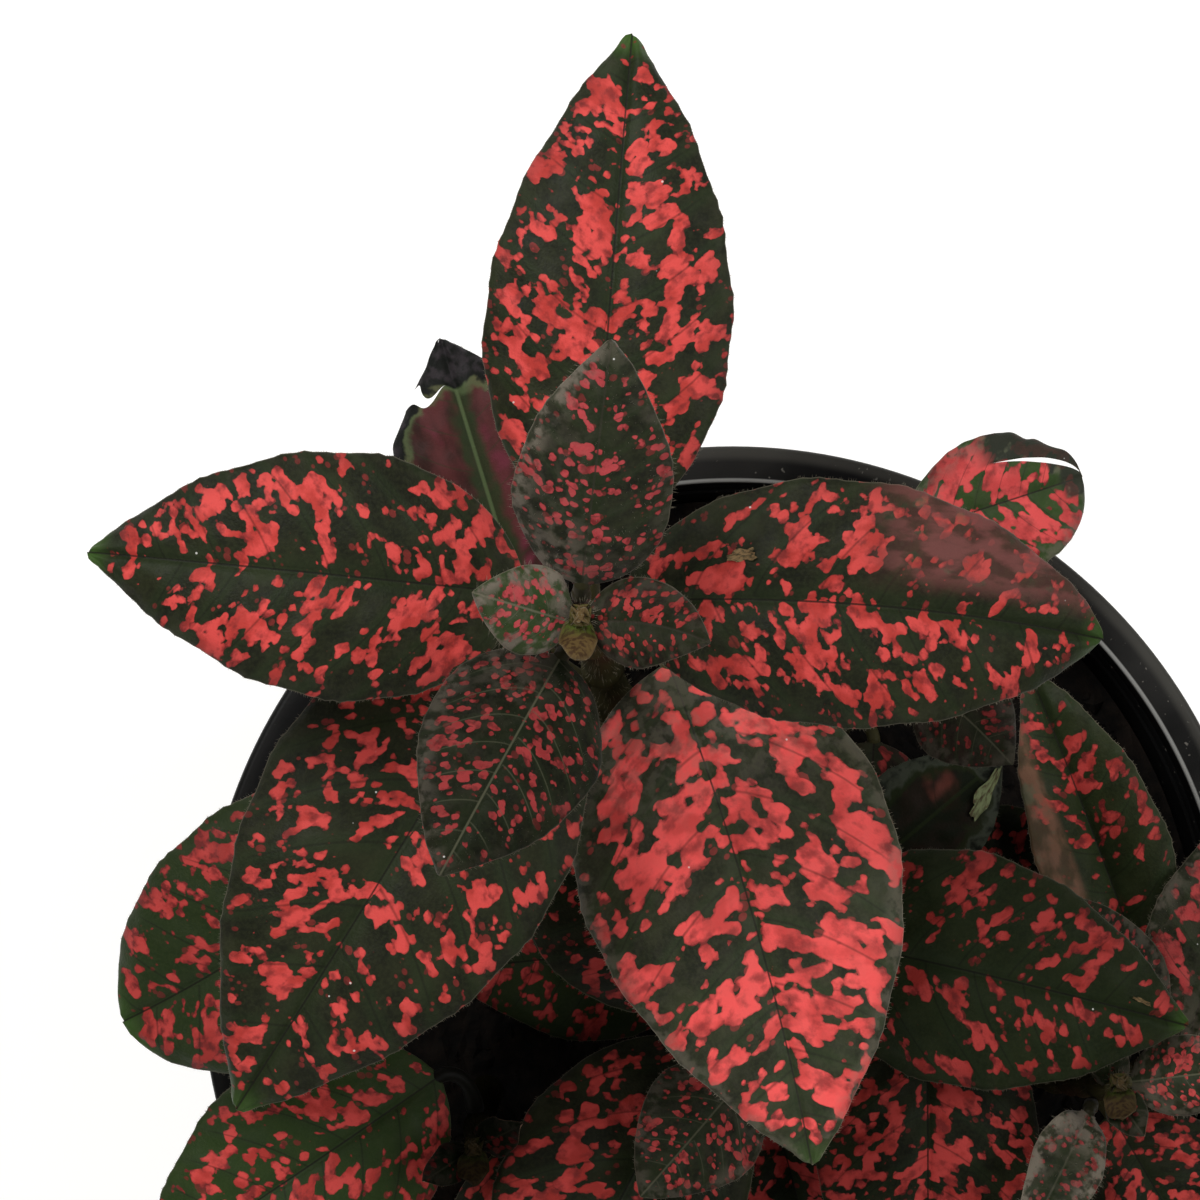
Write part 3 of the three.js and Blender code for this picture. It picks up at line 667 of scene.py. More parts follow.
    def add_hairs(self, shape):
        """Short hairs along the margin, and over a young leaf's face."""
        if self.length < TINY_LEAF:
            return
        draw = self.random.uniform
        spots = [
            (draw(0.04, 0.985), self.random.choice((-1.0, 1.0)), 1)
            for _ in range(int(self.length * (7 - 2 * self.grey)))
        ]
        if self.grey > 0.5:
            face_hairs = int(self.length * self.width * 0.9)
            spots += [(draw(0.05, 0.97), draw(-0.95, 0.95), 0) for _ in range(face_hairs)]
        spots = np.array(spots)
        if self.tear:
            spots = spots[spots[:, 1] < 0]
        u, v, edge = spots.T
        base = self.surface(u, v, 0.8 - 0.8 * edge)
        along, side, up = heading(*self.blade_turn(u))
        reach = np.array([draw(0.12, 0.32) for _ in spots]) * (1 + 1.2 * self.grey)
        forward = np.array([draw(-0.1, 0.6) for _ in spots])
        out = mix(0.2, 1.0, edge) * np.sign(v)
        rise = mix(1.0, 0.35, edge)
        lean = unit(side * out[:, None] + along * forward[:, None] + up * rise[:, None])
        needles(shape, base, base + lean * reach[:, None], width=0.016)

    def add_scrap(self, shape, u, v, size):
        """A curled scrap of dry tissue that lies on the blade."""
        count = 9
        steps = np.linspace(-1, 1, count)
        down, over = (grid.ravel() for grid in np.meshgrid(steps, steps, indexing="ij"))
        ragged = 1 + 0.16 * np.sin(4 * down + 3 * over) + 0.12 * np.sin(9 * over)
        flat_u = np.minimum(u + size / self.length * down * ragged * (1 - 0.35 * over * over), 1)
        flat_v = v + size / self.width * over * ragged
        lift = 2.0 + 1.6 * (down * down + 0.6 * over)
        points = [self.surface(flat_u, flat_v, face) for face in (lift, lift - 0.7)]
        faces = []
        for corner in (i * count + j for i in range(count - 1) for j in range(count - 1)):
            face = (corner, corner + count, corner + count + 1, corner + 1)
            faces += [face, [count * count + k for k in reversed(face)]]
        place = np.stack([2 * down, 2 * over, 0 * over], axis=-1)
        shape.add(np.concatenate(points), faces, np.concatenate([place, place]), SCRAP_LOOK)


# Materials

GROUNDS = {
    "green": (srgb(17, 17, 8), srgb(30, 31, 16)),
    "brown": (srgb(24, 14, 11), srgb(44, 27, 22)),
}
GREY_GREEN = srgb(42, 45, 26)
VEIN_SHEEN_GREEN = srgb(36, 48, 24)
LIGHT_GREEN = srgb(48, 74, 26)
CORAL = srgb(172, 53, 46)
BRIGHT_CORAL = srgb(206, 72, 67)
DULL_RED = srgb(104, 34, 32)
PINK = srgb(176, 66, 72)
BLOOM = srgb(104, 96, 84)
HAIR = srgb(138, 130, 112)
UNDERSIDE = srgb(130, 104, 88)
VEIN = srgb(98, 98, 76)
# Marks on one half of a leaf: 'pink' is a painted greyish-pink sheen, 'strip' a folded-over underside
# along the edge, and 'dead' dead tissue. Each rises from `inner` to `outer` millimetres out from the
# midrib, beyond the share `start` along the blade.
WEAR_AND_SHEEN = {
    "pink": dict(colour=srgb(112, 66, 62), inner=1, outer=4.5, start=0.45),
    "strip": dict(colour=srgb(108, 76, 58), inner=2.8, outer=4, start=0),
    "dead": dict(colour=srgb(36, 38, 30), inner=1, outer=1.5, start=0.45),
}
# Painted highlights on a leaf's marked half, and the black that painted shade darkens towards.
HIGHLIGHT_TAN = srgb(84, 86, 66)
SHADE_BLACK = srgb(4, 4, 3)
DUST = srgb(214, 212, 206)
STALK = srgb(84, 80, 48)
SCRAP_COLOURS = {"brown": srgb(118, 96, 66), "green": srgb(104, 112, 78)}
SCRAP_SHADOW = srgb(64, 56, 38)

# The two withered leaves: two colours of each kind of tissue, and a flush of `glow`.
WITHERED = {
    "a6_up": dict(
        body=(srgb(48, 30, 26), srgb(82, 42, 42)),
        glow=srgb(98, 42, 54),
        living=(srgb(38, 52, 30), srgb(78, 92, 60)),
        dead=(srgb(18, 20, 17), srgb(44, 40, 42)),
    ),
    # Most of b3_up's colours are near black: a withered leaf's own dark, deepened as painted shade.
    "b3_up": dict(
        body=(srgb(14, 18, 8), srgb(30, 22, 16)),
        glow=srgb(80, 42, 34),
        living=(srgb(14, 20, 8), srgb(26, 34, 14)),
        dead=(srgb(48, 52, 42), srgb(14, 16, 11)),
    ),
}


class LeafShader(Shader):
    """A shader that knows where a point is on its leaf."""

    def __init__(self, name, look, seed):
        super().__init__(name, look["shade"])
        self.look = look
        self.place = self.read("place")
        distance, self.across, vein = self.split(self.place)
        self.margin, self.along, self.face = self.split(self.read("look"))
        self.off_rib = self.size(self.across)
        self.off_vein = self.size(self.minus(self.math("FRACT", vein), 0.5))

        # The pattern of splashes leans forward with the veins.
        ahead = self.minus(distance, self.times(self.off_rib, 0.25))
        spot = {0: ahead, 1: self.times(self.across, 0.9), 2: seed * 7.3}
        flat = self.node("ShaderNodeCombineXYZ", spot).outputs[0]
        self.grid = self.vector("MULTIPLY", flat, [1 / look["grain"]] * 3)


def splash_cover(s, grid, bar, lump):
    """How far the pattern is over the bar, which is where a point turns red.

    Noise gives the patches, and the distance to scattered centres gives them round lobes.
    """
    warp = s.vector("SUBTRACT", s.noise(grid, 1.4, 1, output=1), (0.5, 0.5, 0.5))
    warped = s.vector("ADD", grid, s.vector("MULTIPLY", warp, (0.45, 0.45, 0)))
    level = s.plus(s.times(s.noise(grid, 0.3, 1), 0.55), s.times(s.noise(warped, 0.7, 1), 0.45))
    round_off = s.minus(0.45, s.cells(warped, 0.9, 0.9)["Distance"])
    level = s.math("MULTIPLY_ADD", round_off, lump, level)
    level = s.math("MULTIPLY_ADD", s.noise(grid, 2.4, 2), 0.06, level)
    return s.minus(level, bar)


def dot_cover(s, grid):
    """How far small dull dots cover a point of the ground between the splashes."""
    dots = s.cells(grid, 1.3)
    level = s.minus(s.noise(dots["Position"], 0.6, 1), 0.55)
    return s.step(s.minus(s.math("MULTIPLY_ADD", level, 3, 0.1), dots["Distance"]), -0.04, 0.08)


def leaf_material(name, look, red, seed):
    """Dark green splashed with coral, with thin veins, a fine margin and a paler underside."""
    s = LeafShader(name, look, seed)
    margin, along, off_rib, line, grid = s.margin, s.along, s.off_rib, s.off_vein, s.grid
    # Every colour of the leaf is scaled by its shade: painted shade for how deep in the plant it sits.
    deep, dark = (s.tint(colour) for colour in GROUNDS[look["ground"]])

    # The pattern has to rise higher to turn red near the margin, the midrib, the tip and veins.
    bar = s.plus(
        s.step(margin, 0.2, 1.5, 0.07, 0), s.step(off_rib, 0.2, 1.2, 0.05, 0),
        s.step(along, 0.92, 0.99, 0, 0.1), s.step(line, 0, 0.14, 0.035, 0),
        mix(0.605, 0.435, red),
    )
    over = splash_cover(s, grid, bar, look["lump"])
    splash = s.step(over, -0.004, 0.006)

    # Painted reflection: the ground is a lighter green in bands along the veins and the midrib.
    band = s.math("MAXIMUM", s.step(line, 0.04, 0.26, 0.4, 0), s.step(off_rib, 0.3, 2.2, 0.45, 0))
    ground = s.layers(
        deep,
        (s.step(s.noise(grid, 0.35, 3), 0.35, 0.7), dark),
        (s.step(s.noise(grid, 0.22), 0.5, 0.72, 0, 0.6), s.tint(GREY_GREEN)),
        (s.step(s.noise(s.place, 2.6, 3), 0.35, 0.7, 0, 0.3), s.tint(GREY_GREEN, 1.3)),
        (look["green"] * 0.55, s.tint(LIGHT_GREEN)),
        (band, s.tint(VEIN_SHEEN_GREEN)),
        (s.step(along, 0.93, 1, 0, look["tip"]), s.tint(LIGHT_GREEN, 1.3)),
    )

    # The red fades at the margin, in worn patches and at the fringe of each splash.
    worn = s.step(s.noise(grid, 0.9, 4), 0.46, 0.7, 0, 0.75)
    fade = s.plus(s.step(margin, 0.3, 2.6, 0.4, 0), worn, s.step(over, 0, 0.035, 0.6, 0))
    dull = s.tint(DULL_RED)
    tone = s.layers(
        s.tint(CORAL),
        (s.step(s.noise(grid, 0.4, 4), 0.38, 0.56), s.tint(BRIGHT_CORAL)),
        (look["grey"] * 0.7, s.tint(PINK)),
        (s.math("ADD", fade, look["dim"], clamp=True), dull),
    )

    # Veins and midrib are thin lines, dark on a grown leaf and pale on a young one.
    line_colour = s.blend(look["pale"], deep, s.tint(VEIN))
    vein_line = s.times(s.step(line, 0, 0.04, 0.5, 0), s.step(margin, 0.5, 3))

    # The grey bloom is patchy, and strongest along the margin and at the base.
    fuzz = s.step(s.noise(s.place, 0.7, 5), 0.42, 0.6, 0.08, 1.15)
    hairy = s.math("MAXIMUM", s.step(margin, 0.4, 2.6, 1, 0.15), s.step(along, 0.12, 0.4, 0.9, 0))
    bloom = s.times(fuzz, hairy, look["grey"] * 0.8)
    # Painted sheen: on some young leaves the bloom is stronger on one side.
    if look["sheen"]:
        bloom = s.times(bloom, s.step(s.times(s.across, look["sheen"]), -1.5, 2.5, 0.2))
    colour = s.layers(
        ground,
        (s.times(dot_cover(s, grid), 0.7), s.blend(0.6, tone, dull)),
        (splash, tone),
        (vein_line, line_colour),
        (s.step(off_rib, 0.04, 0.15, 0.85, 0), line_colour),
        (bloom, s.tint(BLOOM)),
    )
    if look["scuff"]:
        colour = add_wear_and_sheen(s, colour)
    rim = s.step(margin, 0.03, 0.12, 0.3, 0)
    colour = s.layers(colour, (dust(s), DUST), (rim, s.tint(HAIR)))
    return finish_leaf(s, colour, s.blend(s.times(splash, 0.45), UNDERSIDE, DULL_RED))


def dust(s):
    """Rare tiny pale specks."""
    specks = s.cells(s.place, 0.3)
    chosen = s.step(s.split(specks["Color"])[0], 0.62, 0.63)
    return s.times(s.step(specks["Distance"], 0.02, 0.045, 0.7, 0), chosen)


def add_wear_and_sheen(s, colour):
    """Marks on one half of a leaf: a painted pink sheen, a folded strip or a dead margin and end."""
    wear = WEAR_AND_SHEEN[s.look["worn"]]
    half = s.step(s.times(s.across, s.look["scuff"]), wear["inner"], wear["outer"])
    cover = s.times(half, s.step(s.along, wear["start"], wear["start"] + 0.15))
    if s.look["worn"] == "dead":
        end = s.times(s.step(s.along, 0.86, 0.9), s.step(s.across, -2, -1.6, 0, 0.9))
        cover = s.math("MAXIMUM", s.times(cover, s.step(s.margin, 3.2, 3.6, 0.95, 0)), end)
    else:
        streaks = s.noise(s.vector("MULTIPLY", s.place, (0.5, 1, 0)), 0.55, 5)
        cover = s.times(cover, s.step(streaks, 0.4, 0.6, 0.3, 0.9))
    # Painted highlights mottle each mark, and painted shade darkens it on a leaf deep in the plant.
    lights = s.step(s.noise(s.place, 0.45, 3), 0.55, 0.68, 0, 0.8)
    tone = s.layers(wear["colour"], (lights, HIGHLIGHT_TAN), (max(0, 1 - s.shade), SHADE_BLACK))
    return s.blend(cover, colour, tone)


def finish_leaf(s, colour, under):
    """Colours the underside, the stalk, the hairs and any scrap, and sets the surface."""
    dry = s.step(s.noise(s.place, 1.2, 3), 0.4, 0.65)
    colour = s.layers(
        under,
        (s.face, colour),
        (s.belongs(s.face, SCRAP_PART), s.blend(dry, SCRAP_COLOURS[s.look["scrap"]], SCRAP_SHADOW)),
        (s.belongs(s.face, STALK_PART), s.tint(STALK, s.look["stalk"])),
        (s.belongs(s.face, HAIR_PART), s.tint(HAIR)),
    )
    s.bump(s.noise(s.place, 4, 3), 0.0001, 0.6)
    # Specular and sheen shrink with the painted shade as well.
    return s.set(
        Base_Color=colour,
        Roughness=s.step(s.noise(s.place, 0.6), 0.3, 0.7, 0.5, 0.62),
        Specular_IOR_Level=0.12 * s.shade,
        Sheen_Weight=(0.02 + 0.04 * s.look["grey"]) * s.shade,
        Sheen_Roughness=0.5,
    )


def withered_material(name, look, seed, body, glow, living, dead):
    """An old leaf, green along its midrib, with dead tissue where it is torn."""
    s = LeafShader(name, look, seed)
    grid = s.grid
    streak = s.noise(s.vector("MULTIPLY", grid, (0.5, 1, 1)), 0.5, 3)
    reach = s.math("MULTIPLY_ADD", s.noise(grid, 0.5), 3, 0.3)
    near_rib = s.step(s.minus(reach, s.off_rib), 0, 1.2, 0, 0.85)

    # Dead tissue takes the far end and the ragged margin, with a yellow-green line before it.
    dead_from = 0.82
    ragged = s.math("MULTIPLY_ADD", s.noise(grid, 0.6, 3), 4, -2)
    far = s.math("MULTIPLY_ADD", s.minus(s.along, dead_from), 30, ragged)
    deadness = s.math("MAXIMUM", far, s.plus(s.minus(2, s.margin), ragged))
    patches = s.step(s.noise(s.place, 0.8, 4), 0.4, 0.65, 0, s.step(deadness, 0.4, 1.2))
    colour = s.layers(
        body[0],
        (s.step(streak, 0.35, 0.65), body[1]),
        (s.step(s.noise(grid, 0.35), 0.56, 0.7), glow),
        (near_rib, living[0]),
        (s.step(s.off_vein, 0, 0.05, 0.35, 0), living[0]),
        (s.step(s.off_rib, 0.1, 0.3, 0.8, 0), living[1]),
        (s.step(deadness, -1, -0.2, 0, 0.7), living[1]),
        (s.step(deadness, -0.1, 0.5), dead[0]),
        (patches, dead[1]),
    )
    return finish_leaf(s, colour, srgb(96, 78, 64))


def stem_material(name, stem):
    """An olive stem flushed red-brown, and the bud's scales, tan over yellow-green."""
    s = Shader(name, stem.shade)
    place = s.read("place")
    margin, _, face = s.split(s.read("look"))
    spot = s.vector("MULTIPLY", s.object_place(), (1000, 1000, 150))
    streak = s.noise(spot, 0.9, 3)
    flush = s.step(s.noise(spot, 0.2), 0.5, 0.7, 0, 0.6)
    stalk = s.blend(s.step(streak, 0.3, 0.7), s.tint(STALK, 0.6), s.tint(STALK))
    # Painted shade: the stalk's colours are scaled by the stem's shade, and the bud's colours and
    # hairs darkened by its bud shade.
    colour = s.layers(
        srgb(66, 80, 26),
        (s.step(s.split(place)[0], 1, 2.6), srgb(88, 70, 40)),
        (s.step(s.noise(place, 1.8, 4), 0.4, 0.62, 0, 0.75), srgb(50, 32, 22)),
        (s.step(margin, 0.05, 0.3, 0.35, 0), srgb(120, 100, 68)),
        (1 - stem.bud_shade, SHADE_BLACK),
        (s.belongs(face, STALK_PART), s.blend(flush, stalk, s.tint(srgb(84, 40, 34)))),
        (s.belongs(face, HAIR_PART), with_painted_shade(HAIR, stem.bud_shade)),
    )
    s.bump(streak, 0.0001, 0.5)
    return s.set(Base_Color=colour, Roughness=0.7, Specular_IOR_Level=0.2 * stem.shade)


def soil_material():
    s = Shader("soil")
    place = s.object_place()
    grain = s.noise(place, 420, 6)
    # The soil is dark as damp soil is, and darker still as painted shade under the leaves.
    colour = s.layers(
        srgb(7, 6, 5),
        (s.step(grain, 0.35, 0.7), srgb(22, 17, 13)),
        (s.step(s.noise(place, 90, 3), 0.55, 0.75, 0, 0.6), srgb(32, 24, 18)),
    )
    s.bump(grain, 0.0006)
    return s.set(Base_Color=colour, Roughness=0.95, Specular_IOR_Level=0.15)


def pot_material():
    """Black moulded plastic with dust specks, and a painted highlight band and line round its lip."""
    s = Shader("pot")
    place = s.object_place()
    x, y, z = s.split(place)
    radius = s.math("SQRT", s.plus(s.times(x, x), s.times(y, y)))
    cloud = s.noise(place, 60, 4)
    on_lip = s.step(z, (POT_HEIGHT - 1) * MM, (POT_HEIGHT - 0.2) * MM)
    outer = s.step(radius, (RIM_RADIUS - 1.9) * MM, (RIM_RADIUS - 0.9) * MM, 0, 0.36)
    highlight_and_dust = s.plus(outer, s.step(cloud, 0.3, 0.7, 0, 0.12))
    inner_edge = (RIM_RADIUS - LIP_WIDTH + 0.35) * MM
    off_edge = s.size(s.minus(radius, inner_edge))
    colour = s.layers(
        srgb(10, 10, 10),
        (s.step(cloud, 0.4, 0.7), srgb(17, 17, 17)),
        # Painted highlight: a grey ring round the outer lip, mottled with dust and fading towards -X.
        (s.times(on_lip, highlight_and_dust, s.step(x, -40 * MM, -10 * MM, 0.1)), srgb(78, 76, 70)),
        # Painted highlight: a bright line round the rounded inner edge of the lip.
        (s.times(on_lip, s.step(off_edge, 0.1 * MM, 0.3 * MM, 0.8, 0)), srgb(150, 150, 146)),
        (s.times(s.step(s.noise(place, 1500), 0.70, 0.76), 0.5), srgb(120, 116, 108)),
    )
    s.bump(s.noise(place, 2500), 0.00004, 0.4)
    return s.set(
        Base_Color=colour,
        Roughness=s.step(cloud, 0.3, 0.7, 0.34, 0.5),
        Specular_IOR_Level=0.09,
    )


def floor_material():
    """Near-white paper. Its faint glow lifts the plant's own shadow, as the photo has none."""
    s = Shader("floor")
    place = s.object_place()
    colour = s.blend(s.noise(place, 3, 3), srgb(250, 249, 246), srgb(253, 252, 250))
    return s.set(
        Base_Color=colour, Roughness=0.9, Specular_IOR_Level=0.1,
        Emission_Color=(1, 1, 0.99, 1), Emission_Strength=0.16,
    )


# Pieces

def pot_inside(height):
    ledge_radius = RIM_RADIUS - LIP_WIDTH - LEDGE_STEP
    return mix(FOOT_RADIUS - WALL, ledge_radius, (height - FLOOR) / (LEDGE_HEIGHT - FLOOR))


def arc(centre, radius, start, end, steps=5):
    """Points of an arc in the profile's plane, with angles in degrees."""
    angles = [math.radians(mix(start, end, k / steps)) for k in range(steps + 1)]
    return [(centre[0] + radius * math.cos(t), centre[1] + radius * math.sin(t)) for t in angles]


def lathe(profile, sides):
    """A closed body turned about the pot's axis. The profile starts and ends on the axis."""
    turns = 2 * np.pi * np.arange(sides) / sides
    points = [(0, 0, profile[0][1]), (0, 0, profile[-1][1])]
    for radius, height in profile[1:-1]:
        points += [(radius * math.cos(t), radius * math.sin(t), height) for t in turns]
    rings = len(profile) - 2
    last = 2 + (rings - 1) * sides
    faces = [face[::-1] for face in ring_faces(2, rings, sides)]
    for k in range(sides):
        step = (k + 1) % sides
        faces += [(0, 2 + step, 2 + k), (1, last + k, last + step)]
    return points, faces


def make_pot():
    inner = RIM_RADIUS - LIP_WIDTH
    groove = RIM_RADIUS - WALL
    skirt = RIM_RADIUS - SKIRT_TAPER
    skirt_foot = POT_HEIGHT - SKIRT_DEPTH
    groove_top = POT_HEIGHT - WALL
    top = POT_HEIGHT - LIP_ROUND
    step_top = LEDGE_HEIGHT + LEDGE_STEP
    bead = 0.3
    profile = [
        (0, 0),
        *arc((FOOT_RADIUS - LIP_ROUND, LIP_ROUND), LIP_ROUND, -90, 0),
        (pot_inside(skirt_foot) + WALL, skirt_foot),
        (inner + WALL, groove_top),
        (groove, groove_top),
        (skirt - WALL + bead, skirt_foot + bead),
        (skirt - WALL + 2 * bead, skirt_foot),
        (skirt - bead, skirt_foot),
        (skirt, skirt_foot + bead),
        *arc((RIM_RADIUS - LIP_ROUND, top), LIP_ROUND, 0, 90),
        *arc((inner + LIP_ROUND, top), LIP_ROUND, 90, 180),
        (inner, step_top + bead),
        (inner - bead, step_top),
        (pot_inside(LEDGE_HEIGHT) + bead, LEDGE_HEIGHT),
        (pot_inside(LEDGE_HEIGHT - bead), LEDGE_HEIGHT - bead),
        (pot_inside(FLOOR + 2), FLOOR + 2),
        *arc((pot_inside(FLOOR) - 2, FLOOR + 2), 2, 0, -90, 4),
        (0, FLOOR),
    ]
    points, faces = lathe(profile, 220)
    pot = mesh_piece("pot_shell", np.array(points) * MM, faces, pot_material())

    drills = []
    for i in range(DRAIN_HOLES):
        bearing = 2 * math.pi * (i + 0.5) / DRAIN_HOLES
        place = Vector((math.cos(bearing), math.sin(bearing), 0)) * DRAIN_CIRCLE * MM
        bpy.ops.mesh.primitive_cylinder_add(
            vertices=40, radius=DRAIN_RADIUS * MM, depth=3 * FLOOR * MM, location=place
        )
        cut = pot.modifiers.new("drain", "BOOLEAN")
        cut.operation = "DIFFERENCE"
        cut.object = bpy.context.object
        drills.append(cut.object)
    graph = bpy.context.evaluated_depsgraph_get()
    cut_mesh = bpy.data.meshes.new_from_object(pot.evaluated_get(graph))
    pot.modifiers.clear()
    pot.data = cut_mesh
    for drill in drills:
        bpy.data.objects.remove(drill)
    pot.data.shade_smooth()
    pot.data.set_sharp_from_angle(angle=math.radians(35))
    return dress(pot, "pot", "pot")


def make_soil():
    """Potting soil: a rough bed with crumbs half sunk in it."""
    draw = random.Random(11)
    rings, crumbs = 60, 900
    bottom = FLOOR + 0.3
    top_radius = pot_inside(SOIL_HEIGHT) - 0.3
    profile = [(0, bottom), (pot_inside(bottom) - 0.3, bottom)]
    profile += [(top_radius * ring / rings, SOIL_HEIGHT) for ring in range(rings, -1, -1)]
    points, faces = lathe(profile, 160)
    for number, (x, y, height) in enumerate(points):
        if height == SOIL_HEIGHT and 0 < math.hypot(x, y) < top_radius - 0.1:
            spot = Vector((x, y, 0))
            lumps = 0.9 * (noise.noise(0.35 * spot) + 0.6 * noise.noise(1.1 * spot))
            points[number] = (x, y, height + lumps)

    for _ in range(crumbs):
        reach = top_radius * math.sqrt(draw.random()) * 0.97
        turn = draw.uniform(0, 2 * math.pi)
        size = draw.uniform(0.4, 1.3)
        centre = Vector((reach * math.cos(turn), reach * math.sin(turn), SOIL_HEIGHT + 0.2 * size))
        add_crumb(points, faces, centre, size, draw)
    soil = mesh_piece("soil_bed", np.array(points) * MM, faces, soil_material(), smooth=False)
    return dress(soil, "soil", "soil")


def add_crumb(points, faces, centre, size, draw):
    """A small irregular eight-sided lump."""
    first = len(points)
    for axis in ((1, 0, 0), (-1, 0, 0), (0, 1, 0), (0, -1, 0), (0, 0, 1), (0, 0, -1)):
        jitter = Vector([draw.uniform(-0.3, 0.3) for _ in range(3)])
        points.append(tuple(centre + size * draw.uniform(0.6, 1.1) * (Vector(axis) + jitter)))
    for pole, ring in ((4, (0, 2, 1, 3)), (5, (0, 3, 1, 2))):
        faces += [(first + ring[k], first + ring[(k + 1) % 4], first + pole) for k in range(4)]


def leaf_start(stem, leaf):
    """Where a leaf's petiole starts, clear of its stem's swollen node."""
    bearing = math.radians(leaf.petiole[0])
    lift = math.radians(leaf.tilt[0] + PETIOLE_LIFT)
    radius = stem_radius(stem, leaf.at)
    clear = radius + NODE_SWELL + STEM_GAP + PETIOLE_RADIUS * math.sin(lift)
    return stem_point(stem, leaf.at) + clear * np.array([math.cos(bearing), math.sin(bearing), 0])


def weld(piece):
    """Joins the points of a torn blade where its slit is still closed."""
    mesh = bmesh.new()
    mesh.from_mesh(piece.data)
    bmesh.ops.remove_doubles(mesh, verts=mesh.verts, dist=1e-7)
    mesh.to_mesh(piece.data)
    mesh.free()


def make_leaf(number, name, leaf):
    slot, look = "leaf", GROWN
    if name in YOUNG_LEAVES:
        slot, look = "young_leaf", YOUNG
    if name in OLD_LEAVES:
        slot, look = "old_leaf", OLD
    look = {**look, **LOOKS.get(name, {})}
    phase = repeatable(number) * 2 * math.pi
    start = leaf_start(STEMS[name[0]], leaf)
    blade = Blade(leaf, start, phase, number, look["grey"], TEARS.get(name))
    shape = Shape()
    blade.add_to(shape)
    if name in SCRAPS:
        blade.add_scrap(shape, **SCRAPS[name])
    if name in WITHERED:
        material = withered_material(f"leaf_{name}", look, number, **WITHERED[name])
    else:
        material = leaf_material(f"leaf_{name}", look, leaf.red, number)
    piece = dress(shape.piece(f"blade_{name}", material), slot, f"leaf_{name}")
    if name in TEARS:
        weld(piece)


def make_stem(letter, stem):
    """A stem with its swollen nodes, hairs and bud."""
    nodes = [leaf.at for name, leaf in LEAVES.items() if name[0] == letter]
    tip = stem.tip[2]
    shape = Shape()
    heights = np.arange(SOIL_HEIGHT - HOLE_DEPTH + 0.3, tip, 0.8)
    centres = np.array([stem_point(stem, z) for z in heights])
    radii = []
    for z in heights:
        swell = max(1 - abs(z - node) / (1.5 * NODE_REACH) for node in nodes)
        radii.append(stem_radius(stem, z) + NODE_SWELL * max(swell, 0))
    along = unit(np.gradient(centres, axis=0))
    side = unit(np.cross(along, (0, 1, 0)))
    tube(shape, centres, along, side, radii, STALK_LOOK, sides=24)

    draw = random.Random(ord(letter))
    add_bud(shape, stem_point(stem, tip) + (0.2, 0.9, 0), stem.radii[1], draw)
    hairs = []
    for _ in range(int((tip - SOIL_HEIGHT) * 9)):
        z = draw.uniform(SOIL_HEIGHT + 1, tip)
        turn = draw.uniform(0, 2 * math.pi)
        out = np.array([math.cos(turn), math.sin(turn), draw.uniform(-0.4, 0.2)])
        root = stem_point(stem, z) + out * stem_radius(stem, z) * (1, 1, 0)
        hairs.append((root, root + out * draw.uniform(0.3, 0.8)))
    needles(shape, *zip(*hairs), width=0.025)
    material = stem_material(f"stem_{letter}", stem)
    dress(shape.piece(f"stalk_{letter}", material), "stem", f"stem_{letter}")


def make_tip_leaves(letter, stem):
    """The smallest leaves at a stem's tip, as pieces of their own."""
    start = stem_point(stem, stem.tip[2] - TIP_DROP)
    looks = TIP_LOOKS.get(letter, ({}, {}))
    for number, ((blade, tilt, size), own) in enumerate(zip(TIP_LEAVES[letter], looks)):
        # A tip leaf's colours take its bud's painted shade.
        look = {**YOUNG, "shade": stem.bud_shade, "green": 0.3, **own}
        leaf = Leaf(None, (blade[0], stem.radii[1]), blade, tilt, size)
        seed = ord(letter) + number
        shape = Shape()
        Blade(leaf, start, blade[0], seed, look["grey"]).add_to(shape)
        name = f"tip_leaf_{letter}{number + 1}"
        material = leaf_material(name, look, TIP_RED, seed)
        dress(shape.piece(name, material), "young_leaf", f"stem_{letter}")


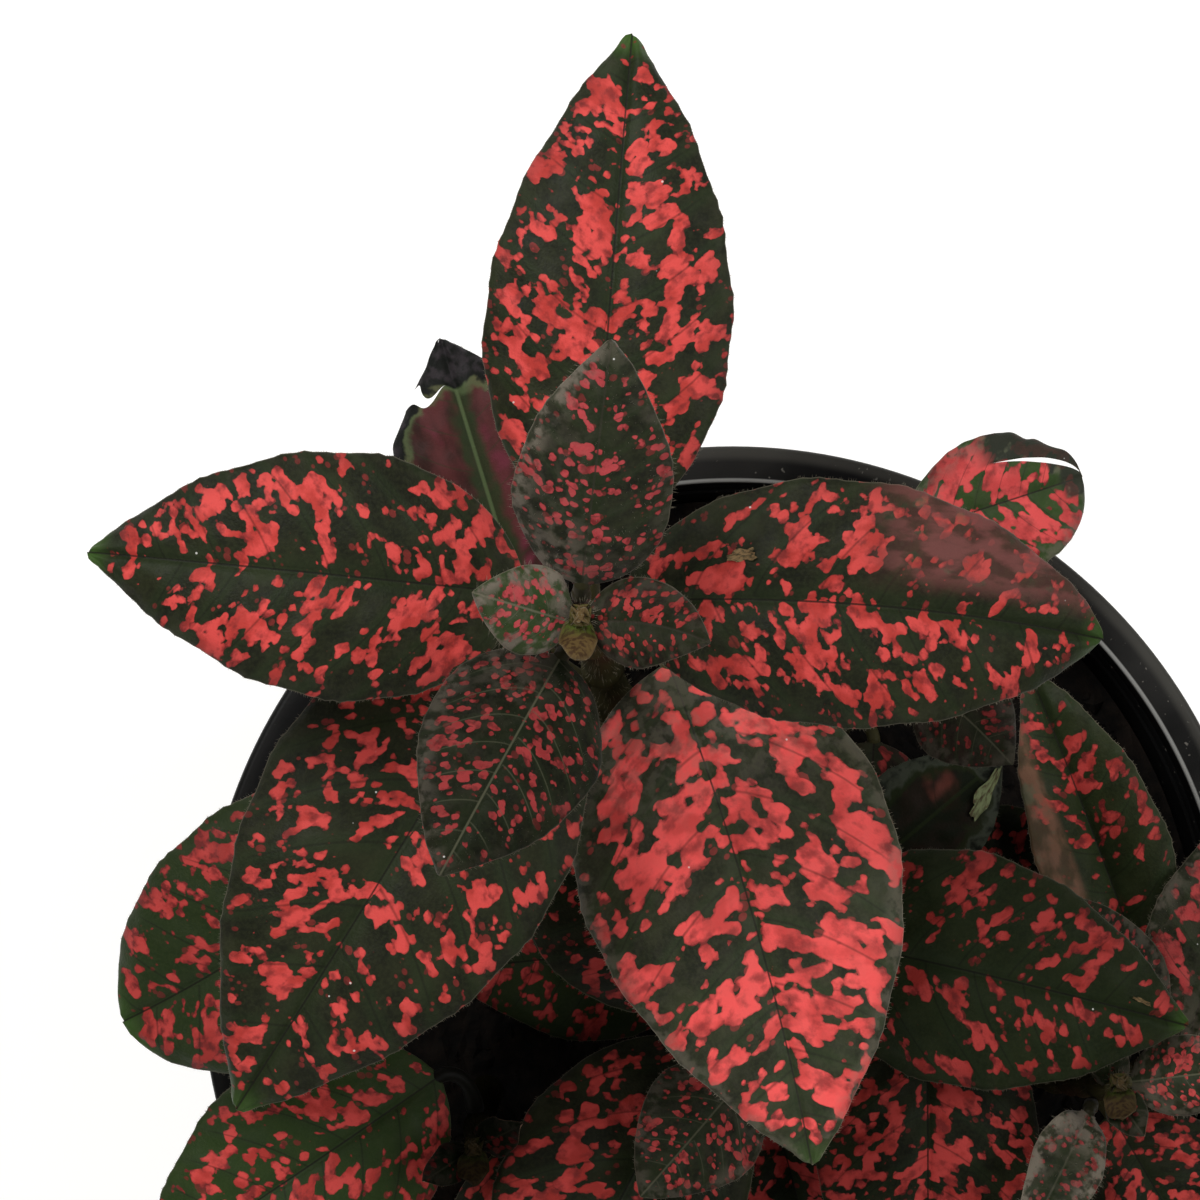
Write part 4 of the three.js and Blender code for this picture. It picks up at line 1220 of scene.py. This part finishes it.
def add_bud(shape, centre, radius, draw):
    """A bud of cupped scales, the outer one open, with hairs all round."""
    scales = ((268, 24, 4.6), (86, 74, 2.6), (178, 78, 2.6), (0, 76, 2.6), (268, 76, 2.4))
    for turn, tilt, length in scales:
        bearing = turn + draw.uniform(-6, 6)
        size = (length, length * 0.78)
        scale = Leaf(None, (bearing, 0.2), (bearing, 0), (tilt, -22), size, taper=0.6)
        Blade(scale, centre - (0, 0, 0.4), bearing, int(bearing), 0).add_to(shape)
    hairs = []
    for _ in range(90):
        turn, rise = draw.uniform(0, 2 * math.pi), draw.uniform(-0.3, 1.2)
        level = math.cos(rise)
        out = np.array([math.cos(turn) * level, math.sin(turn) * level, math.sin(rise)])
        root = centre + out * radius * 1.2
        hairs.append((root, root + out * draw.uniform(0.3, 0.9)))
    needles(shape, *zip(*hairs), width=0.02)


# Stage, light and camera

def make_floor():
    bpy.ops.mesh.primitive_plane_add(size=6, location=(0, 0, -0.0002))
    floor = bpy.context.object
    floor.name = "floor"
    floor.data.materials.append(floor_material())


def make_light(name, place, size, power):
    lamp = bpy.data.lights.new(name, "AREA")
    lamp.size = size
    lamp.energy = power
    light = add_object(name, lamp)
    light.location = place
    aim = Vector((0, 0, 0.1)) - Vector(place)
    light.rotation_euler = aim.to_track_quat("-Z", "Y").to_euler()


def make_world():
    world = bpy.data.worlds.new("studio")
    world.use_nodes = True
    background = world.node_tree.nodes["Background"]
    background.inputs["Color"].default_value = (1, 1, 1, 1)
    background.inputs["Strength"].default_value = 0.2
    bpy.context.scene.world = world


def make_camera():
    camera = bpy.data.cameras.new("camera")
    camera.sensor_width = SENSOR
    camera.lens = SENSOR * (CAMERA_PLACE[2] - POT_HEIGHT) / FRAME_WIDTH
    camera.clip_start = 0.01
    holder = add_object("camera", camera)
    holder.location = [value * MM for value in CAMERA_PLACE]
    bpy.context.scene.camera = holder


make_camera()
make_pot()
make_soil()
for letter, stem in STEMS.items():
    make_stem(letter, stem)
    make_tip_leaves(letter, stem)
for number, (name, leaf) in enumerate(LEAVES.items(), 1):
    make_leaf(number, name, leaf)
make_floor()
make_world()
make_light("key", (-0.45, 0.6, 1.1), 0.6, 12.5)
make_light("fill", (0.75, 0.1, 0.9), 0.7, 5.5)
make_light("front", (-0.2, -0.85, 0.9), 0.7, 3.5)
bpy.context.scene.view_settings.view_transform = "Standard"
